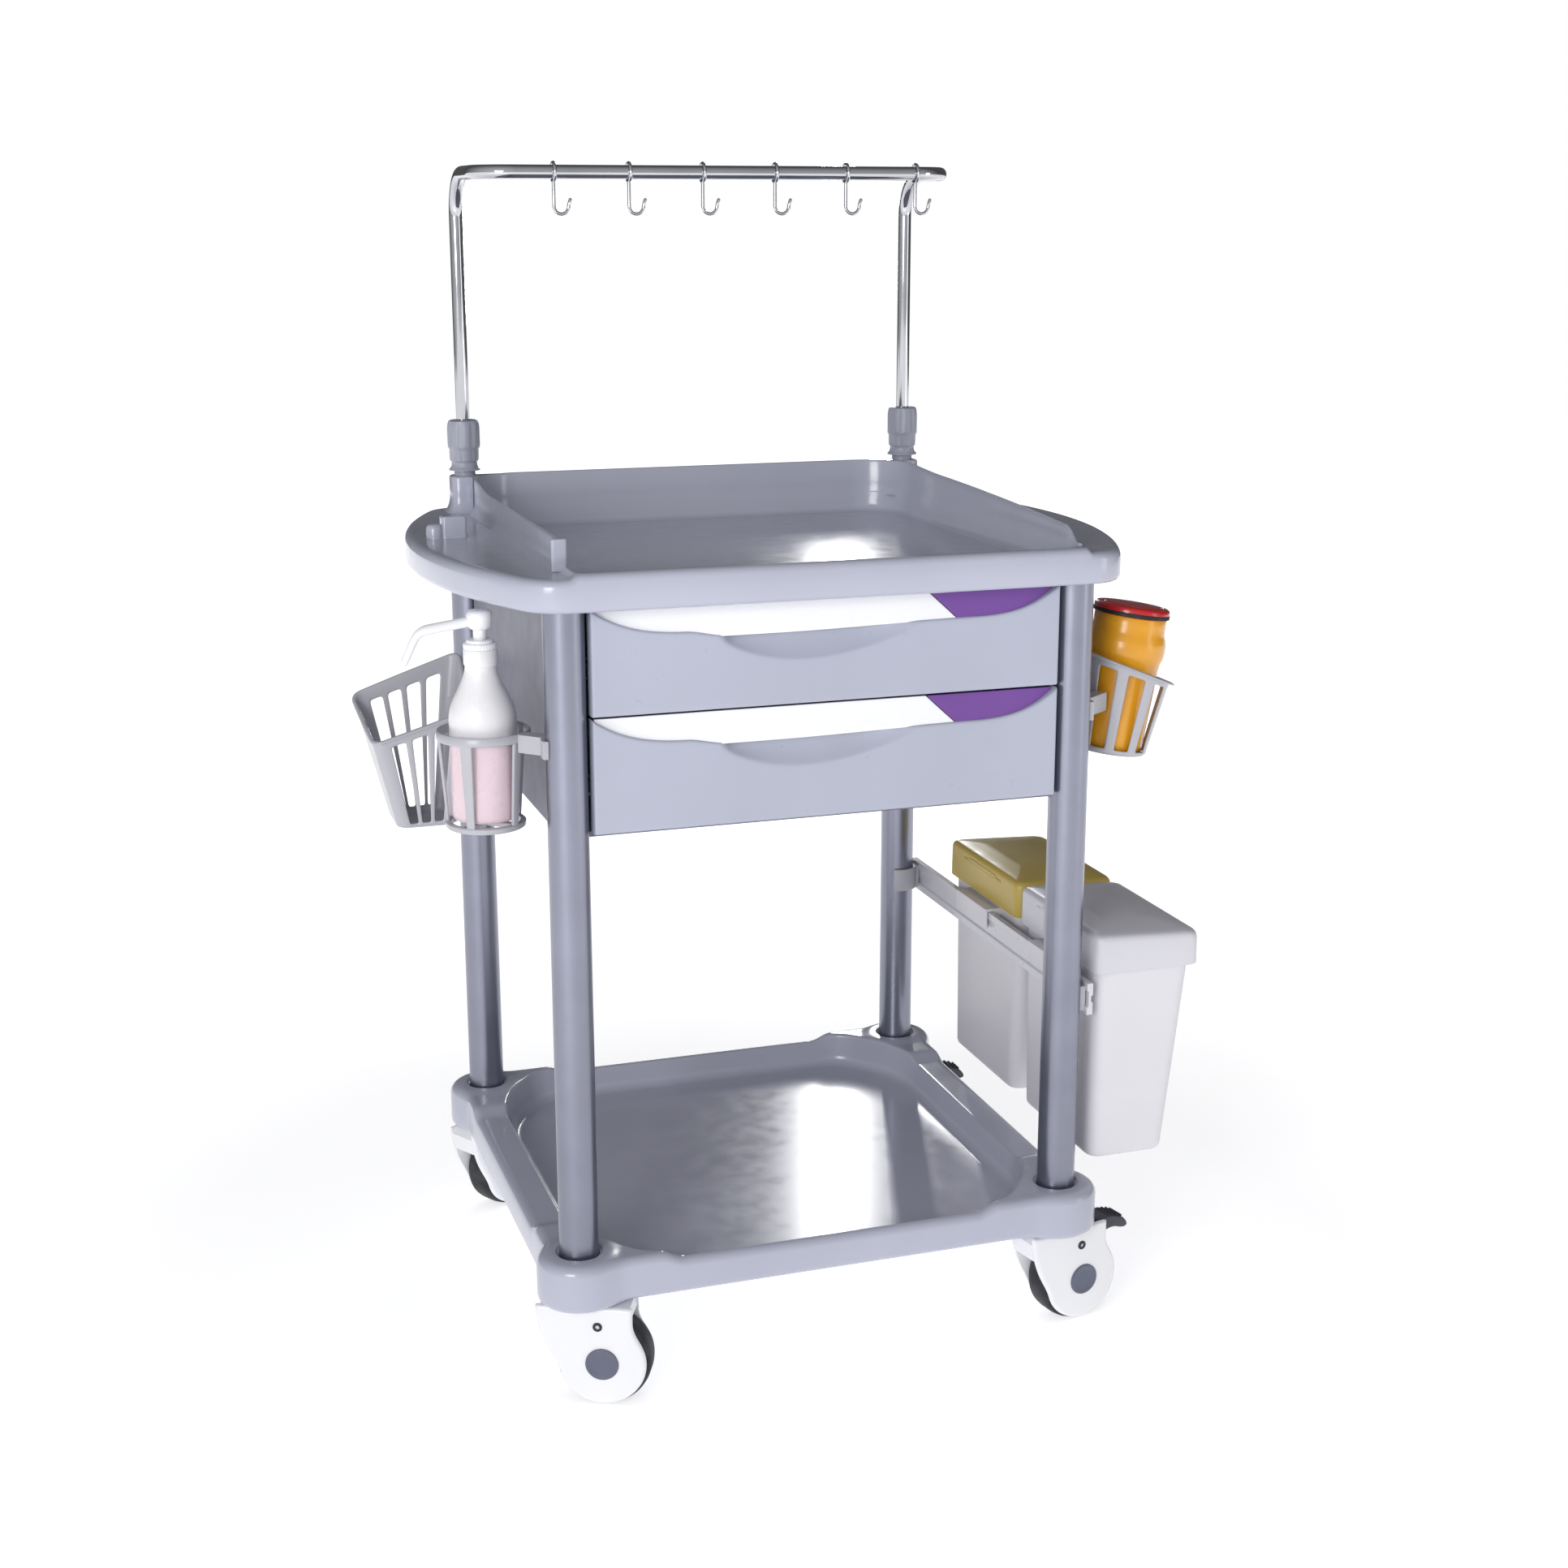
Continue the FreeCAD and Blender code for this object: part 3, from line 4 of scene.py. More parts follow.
import bmesh
import bpy
import numpy as np
from mathutils import Matrix, Vector


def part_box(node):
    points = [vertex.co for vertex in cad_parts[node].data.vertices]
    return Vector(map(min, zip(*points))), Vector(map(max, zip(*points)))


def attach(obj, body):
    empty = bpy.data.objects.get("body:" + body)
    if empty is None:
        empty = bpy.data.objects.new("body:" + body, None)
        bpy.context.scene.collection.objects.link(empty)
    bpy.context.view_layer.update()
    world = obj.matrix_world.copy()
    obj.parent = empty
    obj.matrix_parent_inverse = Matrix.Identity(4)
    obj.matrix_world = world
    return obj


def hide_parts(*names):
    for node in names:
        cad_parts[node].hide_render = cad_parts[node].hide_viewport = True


# Looks of the medication cart. Shapes are worked out in millimetres and become metres in add_piece().

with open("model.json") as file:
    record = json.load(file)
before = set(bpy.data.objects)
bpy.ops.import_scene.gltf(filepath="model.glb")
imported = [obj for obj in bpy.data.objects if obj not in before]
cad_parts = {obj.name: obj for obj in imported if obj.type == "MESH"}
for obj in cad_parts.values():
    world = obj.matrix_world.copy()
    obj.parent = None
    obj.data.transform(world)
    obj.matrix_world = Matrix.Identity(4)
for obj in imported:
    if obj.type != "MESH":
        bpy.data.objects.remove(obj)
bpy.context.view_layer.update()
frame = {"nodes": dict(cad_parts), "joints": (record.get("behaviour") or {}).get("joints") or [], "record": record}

MM = 0.001
BODY = {node: body for body, nodes in frame["record"]["behaviour"]["bodies"].items() for node in nodes}
SLOT = {part["node"]: part["material_slot"] for part in frame["record"]["subparts"]}
JOINT = {joint["name"]: joint for joint in frame["joints"]}
SIDES = (("left", -1), ("right", 1))
ENDS = (("front", -1), ("back", 1))


# ---- frame positions ----

def cad(node):
    """Lowest and highest corner of a CAD node."""
    low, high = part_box(node)
    return np.array(low) / MM, np.array(high) / MM


def middle(node):
    low, high = cad(node)
    return (low + high) / 2


COLUMN_X, COLUMN_Y = middle("column_back_right")[:2]


# ---- curves and outlines ----

def smoothstep(value, start, end):
    t = np.clip((np.asarray(value, float) - start) / (end - start), 0, 1)
    return t * t * (3 - 2 * t)


def rounded(corners, reach, steps=7, closed=False):
    """Polyline through corners, each turned into a short curve that starts a given reach before it."""
    p = np.asarray(corners, float)
    reaches = np.broadcast_to(reach, len(p))
    made = []
    for i, here in enumerate(p):
        if not closed and i in (0, len(p) - 1):
            made.append(here)
            continue
        before, after = p[i - 1], p[(i + 1) % len(p)]
        a = min(reaches[i] / np.linalg.norm(before - here), 0.49)
        b = min(reaches[i] / np.linalg.norm(after - here), 0.49)
        start, end = here + (before - here) * a, here + (after - here) * b
        for t in np.linspace(0, 1, steps):
            made.append((1 - t) ** 2 * start + 2 * t * (1 - t) * here + t * t * end)
    return np.array(made)


def rectangle(x0, x1, y0, y1, radius=0, steps=7):
    corners = [(x0, y0), (x1, y0), (x1, y1), (x0, y1)]
    return rounded(corners, radius * 1.25, steps, True) if radius else np.array(corners, float)


def inset(outline, distance):
    """Closed outline moved inwards, corner by corner."""
    p = np.asarray(outline, float)
    ahead = np.roll(p, -1, 0) - p
    ahead /= np.maximum(np.linalg.norm(ahead, axis=1), 1e-9)[:, None]
    behind = np.roll(ahead, 1, 0)
    area = np.sum(p[:, 0] * np.roll(p[:, 1], -1) - np.roll(p[:, 0], -1) * p[:, 1])
    both = (ahead + behind) * (1 if area > 0 else -1)
    normal = np.stack([-both[:, 1], both[:, 0]], 1)
    return p + normal * distance * 2 / np.maximum(np.sum(normal ** 2, 1), 1)[:, None]


def box_distance(x, y, half_x, half_y, radius):
    """Signed distance to a rectangle with round corners about the origin."""
    qx, qy = np.abs(x) - half_x + radius, np.abs(y) - half_y + radius
    return np.hypot(np.maximum(qx, 0), np.maximum(qy, 0)) + np.minimum(np.maximum(qx, qy), 0) - radius


def smooth_union(a, b, blend):
    share = np.clip(0.5 + 0.5 * (b - a) / blend, 0, 1)
    return b * (1 - share) + a * share - blend * share * (1 - share)


def smooth_common(a, b, blend):
    return -smooth_union(-a, -b, blend)


RAYS = 720


def level_line(distance, depth, centre=(0, 0), rays=RAYS, reach=520):
    """Closed outline that lies a given depth inside a shape, one point on each ray from a centre."""
    angles = np.arange(rays) * 2 * pi / rays
    near, far = np.zeros(rays), np.full(rays, float(reach))
    for _ in range(30):
        half = (near + far) / 2
        inside = distance(centre[0] + half * np.cos(angles), centre[1] + half * np.sin(angles)) < -depth
        near, far = np.where(inside, half, near), np.where(inside, far, half)
    return np.stack([centre[0] + near * np.cos(angles), centre[1] + near * np.sin(angles)], 1)


def at_height(outline, height):
    """Outline with its Z: one number, or a function of x and y."""
    x, y = outline[:, 0], outline[:, 1]
    z = height(x, y) if callable(height) else np.full(len(outline), float(height))
    return np.stack([x, y, z], 1)


# ---- solids ----

def joined(*parts):
    points, faces = [], []
    for more_points, more_faces in parts:
        offset = len(points)
        points += [tuple(p) for p in more_points]
        faces += [tuple(offset + i for i in face) for face in more_faces]
    return points, faces


def moved(geometry, matrix):
    points, faces = geometry
    return [tuple(matrix @ Vector(p)) for p in points], faces


def shift(x=0, y=0, z=0):
    return Matrix.Translation((x, y, z))


def turned(degrees, axis):
    return Matrix.Rotation(radians(degrees), 4, axis)


def loft(rings, caps=True, closed=False):
    """Skin over rings with equal numbers of points; closed joins the last ring to the first."""
    count = len(rings[0])
    points = [tuple(p) for ring in rings for p in ring]
    last = len(rings) - 1
    pairs = [(i, i + 1) for i in range(last)] + ([(last, 0)] if closed else [])
    faces = []
    for a, b in pairs:
        for i in range(count):
            j = (i + 1) % count
            faces.append((a * count + i, a * count + j, b * count + j, b * count + i))
    if caps and not closed:
        faces.append(tuple(range(count))[::-1])
        faces.append(tuple(last * count + i for i in range(count)))
    return points, faces


def edge_levels(low, high, edge, low_edge=None, steps=4):
    """(depth, height) pairs of a plate whose upper and lower edges are rounded."""
    low_edge = edge if low_edge is None else low_edge
    turns = np.linspace(0, pi / 2, steps + 1)
    rise = [(low_edge * (1 - sin(a)), low + low_edge * (1 - cos(a))) for a in turns]
    fall = [(edge * (1 - sin(a)), high - edge * (1 - cos(a))) for a in turns[::-1]]
    return rise + fall


AXES = {"z": [0, 1, 2], "y": [0, 2, 1]}


def plate(outline, low, high, edge, along="z", levels=None):
    """Solid between two heights over an outline, with rounded edges. Along Y the outline is (x, z)."""
    rings = []
    for depth, height in levels or edge_levels(low, high, edge):
        flat = inset(outline, depth)
        ring = np.column_stack([flat, np.full(len(flat), height)])
        rings.append(ring[:, AXES[along]])
    return loft(rings)


def lathe(profile, count=96, closed=False, swell=None):
    """Solid turned about Z from (radius, z) pairs; swell(angles, z) scales each ring."""
    angles = np.arange(count) * 2 * pi / count
    rings = []
    for radius, z in profile:
        r = radius * (swell(angles, z) if swell else np.ones(count))
        rings.append(np.stack([r * np.cos(angles), r * np.sin(angles), np.full(count, float(z))], 1))
    return loft(rings, closed=closed)


def tube(path, radius, count=24, closed=False):
    """Round bar along a path with domed ends; radius is one number or one for each point."""
    path = np.asarray(path, float)
    radii = np.broadcast_to(radius, len(path)).astype(float)
    if closed:
        ahead = np.roll(path, -1, 0) - np.roll(path, 1, 0)
    else:
        ahead = np.gradient(path, axis=0)
    ahead /= np.linalg.norm(ahead, axis=1)[:, None]
    side = np.cross(ahead[0], (0.31, 0.57, 0.76))
    side /= np.linalg.norm(side)
    angles = np.arange(count) * 2 * pi / count
    frames = []
    for spot, heading, size in zip(path, ahead, radii):
        side = side - heading * np.dot(side, heading)
        side /= np.linalg.norm(side)
        frames.append((spot, heading, side, np.cross(heading, side), size))

    def ring(frame_of, push=0.0, share=1.0):
        spot, heading, across, up, size = frame_of
        return [spot + heading * push + (across * cos(a) + up * sin(a)) * size * share for a in angles]

    skins = [ring(f) for f in frames]
    if closed:
        return loft(skins, closed=True)
    dome = [radians(a) for a in (22, 45, 66, 84)]
    first, last = frames[0], frames[-1]
    skins = [ring(first, -first[4] * sin(a), cos(a)) for a in dome[::-1]] + skins
    skins += [ring(last, last[4] * sin(a), cos(a)) for a in dome]
    return loft(skins)


def slab(front, back):
    """Closed solid between two equal grids of points."""
    front, back = np.asarray(front, float), np.asarray(back, float)
    rows, cols = front.shape[:2]
    points = [tuple(p) for grid in (front, back) for row in grid for p in row]
    faces = []
    for level, offset in enumerate((0, rows * cols)):
        for r in range(rows - 1):
            for c in range(cols - 1):
                a = offset + r * cols + c
                quad = (a, a + 1, a + cols + 1, a + cols)
                faces.append(quad if level == 0 else quad[::-1])
    rim = [(0, c) for c in range(cols)] + [(r, cols - 1) for r in range(1, rows)]
    rim += [(rows - 1, c) for c in range(cols - 2, -1, -1)] + [(r, 0) for r in range(rows - 2, 0, -1)]
    for (r0, c0), (r1, c1) in zip(rim, rim[1:] + rim[:1]):
        a, b = r0 * cols + c0, r1 * cols + c1
        faces.append((b, a, a + rows * cols, b + rows * cols))
    return points, faces


def bare_mesh(name, geometry, sharp):
    points, faces = geometry
    mesh = bpy.data.meshes.new(name)
    mesh.from_pydata([tuple(c * MM for c in p) for p in points], [], faces)
    work = bmesh.new()
    work.from_mesh(mesh)
    bmesh.ops.remove_doubles(work, verts=work.verts, dist=2e-6)
    bmesh.ops.dissolve_degenerate(work, edges=work.edges, dist=1e-6)
    bmesh.ops.recalc_face_normals(work, faces=work.faces)
    work.to_mesh(mesh)
    work.free()
    shade(mesh, sharp)
    return mesh


def shade(mesh, sharp):
    mesh.polygons.foreach_set("use_smooth", [True] * len(mesh.polygons))
    mesh.set_sharp_from_angle(angle=radians(sharp))


def bake(obj):
    """Replace a piece's mesh by what its modifiers make of it."""
    bpy.context.view_layer.update()
    graph = bpy.context.evaluated_depsgraph_get()
    mesh = bpy.data.meshes.new_from_object(obj.evaluated_get(graph))
    obj.modifiers.clear()
    obj.data = mesh


def combine(obj, operation, geometry):
    """Boolean of a piece with one more closed solid."""
    tool = bpy.data.objects.new("tool", bare_mesh("tool", geometry, 30))
    bpy.context.scene.collection.objects.link(tool)
    step = obj.modifiers.new(operation, "BOOLEAN")
    step.operation = operation
    step.solver = "EXACT"
    step.object = tool
    bake(obj)
    bpy.data.objects.remove(tool)


def add_piece(name, geometry, node, stands_for=True, material=None, sharp=35, unite=(), holes=(), thickness=0,
              bevel=0, divide=0):
    """One visible piece: it rides with a CAD node's body, takes its material slot and, unless told otherwise,
    stands for that node."""
    mesh = bare_mesh(name, geometry, sharp)
    obj = bpy.data.objects.new(name, mesh)
    bpy.context.scene.collection.objects.link(obj)
    if thickness:
        shell = obj.modifiers.new("wall", "SOLIDIFY")
        shell.thickness = thickness * MM
        shell.offset = 0
        shell.use_even_offset = True
    if divide:
        surface = obj.modifiers.new("round", "SUBSURF")
        surface.levels = divide
        surface.render_levels = divide
    if thickness or divide:
        bake(obj)
    for geometry_more in unite:
        combine(obj, "UNION", geometry_more)
    for hole in holes:
        combine(obj, "DIFFERENCE", hole)
    if bevel:
        round_edges(obj, bevel)
        bake(obj)
    shade(obj.data, sharp)
    obj.data.materials.clear()
    obj.data.materials.append(material or MATERIALS[SLOT[node]])
    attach(obj, BODY[node])
    if stands_for:
        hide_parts(*([node] if stands_for is True else stands_for))
    return obj


def round_edges(obj, width, angle=40):
    edge = obj.modifiers.new("edges", "BEVEL")
    edge.width = width * MM
    edge.segments = 3
    edge.limit_method = "ANGLE"
    edge.angle_limit = radians(angle)
    edge.use_clamp_overlap = True
    return edge


# ---- materials ----

def linear(red, green, blue):
    """Linear colour from 8-bit display values."""
    shares = [c / 255 for c in (red, green, blue)]
    return [c / 12.92 if c <= 0.04045 else ((c + 0.055) / 1.055) ** 2.4 for c in shares] + [1.0]


class Nodes:
    """Small helper round one material's node tree."""

    def __init__(self, name):
        self.material = bpy.data.materials.new(name)
        self.material.use_nodes = True
        self.tree = self.material.node_tree
        self.shader = self.tree.nodes["Principled BSDF"]
        place = self.tree.nodes.new("ShaderNodeTexCoord")
        self.place = place.outputs["Object"]

    def add(self, kind, **values):
        item = self.tree.nodes.new("ShaderNode" + kind)
        for key, value in values.items():
            setattr(item, key, value)
        return item

    def link(self, source, target):
        self.tree.links.new(source, target)

    def noise(self, scale, detail=3.0, stretch=(1, 1, 1)):
        """Noise in metres of the object; stretch squeezes it along an axis."""
        squeeze = self.add("Mapping")
        squeeze.inputs["Scale"].default_value = stretch
        self.link(self.place, squeeze.inputs["Vector"])
        item = self.add("TexNoise")
        item.inputs["Scale"].default_value = scale
        item.inputs["Detail"].default_value = detail
        self.link(squeeze.outputs["Vector"], item.inputs["Vector"])
        return item.outputs["Fac"]

    def spread(self, value, low, high, start=0.3, end=0.7):
        item = self.add("MapRange")
        for name, number in (("From Min", start), ("From Max", end), ("To Min", low), ("To Max", high)):
            item.inputs[name].default_value = number
        self.link(value, item.inputs["Value"])
        return item.outputs["Result"]

    def blend(self, share, one, two):
        """Colour between two colours or colour outputs."""
        item = self.add("Mix", data_type="RGBA")
        self.link(share, item.inputs[0])
        for socket, colour in ((item.inputs[6], one), (item.inputs[7], two)):
            if isinstance(colour, list):
                socket.default_value = colour
            else:
                self.link(colour, socket)
        return item.outputs[2]

    def bump(self, height, strength, distance):
        item = self.add("Bump")
        item.inputs["Strength"].default_value = strength
        item.inputs["Distance"].default_value = distance
        self.link(height, item.inputs["Height"])
        return item.outputs["Normal"]

    def finish(self, **sockets):
        """Sets or links the shader's sockets, named in lower case with _ for each space."""
        for key, value in sockets.items():
            socket = self.shader.inputs[key.replace("_", " ").title()]
            if isinstance(value, bpy.types.NodeSocket):
                self.link(value, socket)
            else:
                socket.default_value = value
        return self.material


def scaled(colour, share):
    return [min(c * share, 1.0) for c in colour[:3]] + [1.0]


def moulded(name, colour, rough, grain=0.12, coat=0.0):
    """Injection-moulded plastic: faint flow marks, fine spark texture, lighter rubbed patches and uneven gloss."""
    n = Nodes(name)
    flow = n.spread(n.noise(7, 4, (1, 1, 0.45)), 0, 1)
    tone = n.blend(flow, scaled(colour, 0.97), scaled(colour, 1.03))
    rubbed = n.spread(n.noise(11, 6, (1, 1, 2)), 0, 0.1, 0.58, 0.75)
    return n.finish(base_color=n.blend(rubbed, tone, scaled(colour, 1.2)),
                    roughness=n.spread(n.noise(42, 5), rough - 0.03, rough + 0.05),
                    normal=n.bump(n.noise(1500, 2), grain, 0.0001), coat_weight=coat, coat_roughness=0.12)


def metal(name, colour, rough, stretch=(1, 1, 1), lines=600, strength=0.05, spots=0.03):
    """Metal with drawn or polished marks along one axis and a few dull spots."""
    n = Nodes(name)
    drawn = n.noise(lines, 3, stretch)
    cloud = n.noise(19, 4)
    return n.finish(base_color=n.blend(n.spread(cloud, 0, 1), scaled(colour, 0.94), scaled(colour, 1.04)),
                    roughness=n.spread(cloud, rough, rough + spots), normal=n.bump(drawn, strength, 0.0001),
                    metallic=1.0)


def rubber(name, colour):
    """Black rubber with pale dust in its pores."""
    n = Nodes(name)
    dust = n.spread(n.noise(60, 5), 0, 1, 0.45, 0.75)
    return n.finish(base_color=n.blend(dust, colour, scaled(colour, 3.0)),
                    roughness=n.spread(n.noise(35, 4), 0.5, 0.72),
                    normal=n.bump(n.noise(900, 3), 0.25, 0.0002))


def filled_bottle(name, base, liquid, fill_low, fill_high):
    """Milky blown plastic with its contents showing pink below the fill line."""
    n = Nodes(name)
    parts = n.add("SeparateXYZ")
    n.link(n.place, parts.inputs["Vector"])
    level = n.spread(parts.outputs["Z"], 1, 0, fill_low, fill_high)
    cloud = n.spread(n.noise(22, 4), 0, 1)
    shell = n.blend(cloud, base, scaled(base, 0.96))
    contents = n.blend(cloud, liquid, scaled(liquid, 0.95))
    return n.finish(base_color=n.blend(level, shell, contents),
                    roughness=n.spread(n.noise(50, 4), 0.24, 0.36),
                    normal=n.bump(n.noise(30, 3), 0.12, 0.0006), subsurface_weight=0.25,
                    subsurface_radius=(0.012, 0.009, 0.009), subsurface_scale=0.6)


def label_card(name, colour):
    """White label card behind a clear strip: paper fibres under a smooth coat."""
    n = Nodes(name)
    fibre = n.spread(n.noise(420, 6, (1, 1, 3)), 0, 1)
    return n.finish(base_color=n.blend(fibre, colour, scaled(colour, 0.965)),
                    roughness=n.spread(n.noise(60, 4), 0.30, 0.42),
                    normal=n.bump(n.noise(300, 4), 0.08, 0.0001), coat_weight=0.6, coat_roughness=0.08)


FINISHES = {
    "body_plastic": (moulded, (176, 178, 194), 0.2, 0.04, 0.3),
    "column_aluminium": (metal, (142, 144, 158), 0.3, (1, 1, 0.012), 900, 0.1),
    "cabinet_plastic": (moulded, (112, 113, 128), 0.42, 0.2),
    "zinc_steel": (metal, (186, 188, 190), 0.33, (1, 1, 1), 220, 0.12, 0.12),
    "collar_plastic": (moulded, (156, 158, 172), 0.38, 0.15),
    "rail_enamel": (moulded, (208, 208, 214), 0.3, 0.1, 0.3),
    "holder_plastic": (moulded, (176, 176, 183), 0.32, 0.12, 0.2),
    "drawer_box_plastic": (moulded, (205, 206, 212), 0.45, 0.15),
    "drawer_front_plastic": (moulded, (170, 174, 190), 0.3, 0.08),
    "label_strip": (label_card, (248, 248, 250)),
    "accent_purple": (moulded, (118, 74, 154), 0.3, 0.06, 0.3),
    "chrome_steel": (metal, (190, 191, 196), 0.05, (1, 1, 1), 60, 0.02, 0.05),
    "caster_cover": (moulded, (232, 232, 235), 0.22, 0.04, 0.3),
    "caster_cap": (moulded, (92, 96, 114), 0.4),
    "caster_tyre": (rubber, (26, 26, 30)),
    "pedal_plastic": (moulded, (58, 59, 70), 0.45, 0.2),
    "bin_plastic": (moulded, (216, 214, 219), 0.36, 0.12),
    "lid_grey": (moulded, (206, 205, 212), 0.34, 0.12),
    "lid_yellow": (moulded, (190, 166, 82), 0.34, 0.12),
    "bottle_plastic": (filled_bottle, (236, 234, 237), linear(226, 202, 211), 0.696, 0.703),
    "pump_plastic": (moulded, (236, 236, 240), 0.25, 0.04, 0.2),
    "sharps_yellow": (moulded, (228, 160, 30), 0.28, 0.06, 0.3),
    "sharps_red": (moulded, (190, 28, 30), 0.28, 0.06, 0.3),
}
MATERIALS = {name: make(name, linear(*colour), *rest) for name, (make, colour, *rest) in FINISHES.items()}
HUB_GREY = moulded("wheel_hub", linear(200, 200, 206), 0.4)
DARK_STEEL = metal("dark_steel", linear(70, 70, 76), 0.35, (1, 1, 1), 300, 0.1)


# ---- base and worktop ----

QUARTER = np.radians([0, 22, 45, 68, 90])


def tray_wall(distance, top, floor, edge, foot, lean):
    """Rings of a drafted tray wall, from just outside its upper edge down to a filleted floor."""
    rings = []
    for a in QUARTER:
        ring = level_line(distance, -edge * (1 - sin(a)))
        drop = edge * (1 - cos(a))
        rings.append(at_height(ring, lambda x, y, d=drop: top(x, y) - d))
    for a in QUARTER:
        depth = lean + foot * (1 - cos(a))
        rings.append(at_height(level_line(distance, depth), floor + foot * (1 - sin(a))))
    last = rings[-1]
    for share in (0.9, 0.7, 0.45, 0.2):
        rings.append(last * (share, share, 1))
    return rings


def between(outer, inner, height, steps=5):
    """Rings that lead from one outline to another over a top surface."""
    made = []
    for t in np.linspace(0, 1, steps + 2)[1:-1]:
        made.append(at_height(outer[:, :2] * (1 - t) + inner[:, :2] * t, height))
    return made


def outer_skin(distance, under, top, low_edge, edge):
    """Rings up the outside of a moulding between two height maps, with rounded lower and upper edges."""
    rings = [at_height(level_line(distance, low_edge + 16), lambda x, y: under(x, y) + 3.5),
             at_height(level_line(distance, low_edge + 14), under)]
    for a in QUARTER:
        ring = level_line(distance, low_edge * (1 - sin(a)))
        rings.append(at_height(ring, lambda x, y, r=low_edge * (1 - cos(a)): under(x, y) + r))
    for a in QUARTER[::-1]:
        fall = edge * (1 - cos(a))
        ring = level_line(distance, edge * (1 - sin(a)))
        rings.append(at_height(ring, lambda x, y, f=fall: top(x, y) - f))
    return rings


def build_base_tray():
    """Tray with rounded corner bosses, raised corner platforms and a deep recess with cut corners."""
    low, high = cad("base_tray")
    column_low = cad("column_front_left")[0][2]
    boss = high[0] - COLUMN_X - 1.5
    plate_x, plate_y = COLUMN_X + 32, COLUMN_Y + 35
    recess_x, recess_y, cut_x, cut_y = COLUMN_X - 8, COLUMN_Y + 23, 60, 80
    rim, floor = high[2] - 10, low[2] + 10.5
    across = np.array([cut_y, cut_x]) / hypot(cut_x, cut_y)
    cut_reach = across @ np.array([recess_x, recess_y - cut_y])

    def outside(x, y):
        boss_distance = np.hypot(np.abs(x) - COLUMN_X, np.abs(y) - COLUMN_Y) - boss
        return smooth_union(box_distance(x, y, plate_x, plate_y, 34), boss_distance, 12)

    def recess(x, y):
        corner = across[0] * np.abs(x) + across[1] * np.abs(y) - cut_reach
        return smooth_common(box_distance(x, y, recess_x, recess_y, 22), corner, 26)

    def top(x, y):
        raised = smoothstep(np.abs(x), 164, 190) * smoothstep(np.abs(y), 148, 176)
        crown = 1 - smoothstep(np.hypot(np.abs(x) - COLUMN_X, np.abs(y) - COLUMN_Y), 30, 46)
        return rim + 8 * raised + 2 * crown

    def under(x, y):
        near = 1 - smoothstep(np.hypot(np.abs(x) - COLUMN_X, np.abs(y) - COLUMN_Y), boss - 4, boss + 12)
        return low[2] + 3.5 * (1 - near)

    skin = outer_skin(outside, under, top, 7, 9)
    wall = tray_wall(recess, top, floor, 4, 12, 3.5)
    rings = skin + between(skin[-1], wall[0], top, 7) + wall
    holes = []
    for _, sy in ENDS:
        for _, sx in SIDES:
            profile = [(21.2, column_low), (21.2, high[2] - 2.5), (24.5, high[2] - 1), (26, high[2] + 4)]
            holes.append(moved(lathe(profile), shift(sx * COLUMN_X, sy * COLUMN_Y, 0)))
    add_piece("base_tray_moulding", loft(rings), "base_tray", holes=holes, sharp=50)


def pole_holes(low, high):
    """One shaft on the axis of each infusion pole."""
    shaft = lathe([(12.3, low), (12.3, high)], 48)
    return [moved(shaft, shift(sx * COLUMN_X, COLUMN_Y)) for _, sx in SIDES]


def build_worktop():
    """Worktop with swelling wings a step below its front lip, a glossy tray and the lug on its left wing."""
    low, high = cad("worktop")
    rim = cad("guard_rail")[0][2]
    floor, step = low[2] + 12, 5
    front, back = low[1] + 13, COLUMN_Y + 7
    half_x, half_y = COLUMN_X - 8, high[1]
    bulge, corner_x = high[0] - 300, 300
    sweep = half_y ** 2 / (2 * bulge) + bulge / 2

    def outside(x, y):
        wing = np.hypot(np.abs(x) + sweep - corner_x - bulge, y) - sweep
        return smooth_common(wing, np.abs(y) - half_y, 26)

    def tray(x, y):
        centre = (front + back) / 2
        radius = np.where(y > centre, 58, 14)
        return box_distance(x, y - centre, half_x, (back - front) / 2, radius)

    def top(x, y):
        return rim - step * smoothstep(np.abs(x), half_x + 3, half_x + 8)

    skin = outer_skin(outside, lambda x, y: np.full(np.shape(x), low[2]), top, 7, 8)
    wall = tray_wall(tray, lambda x, y: np.full(np.shape(x), rim), floor, 3, 9, 3)
    rings = skin + between(skin[-1], wall[0], top, 16) + wall
    holes = pole_holes(low[2] - 2, rim + 4)
    block = plate(rectangle(-336, -310, 25, 45, 3), rim - step - 2, high[2] - 4, 2)
    lobe = lathe([(9, rim - step - 2), (9, rim + 5), (8, rim + 8), (5, rim + 9.5), (0.5, rim + 10)], 48)
    lobe = moved(lobe, shift(-343, 35, 0))
    add_piece("worktop_moulding", loft(rings), "worktop", holes=holes, unite=[block, lobe], sharp=50)


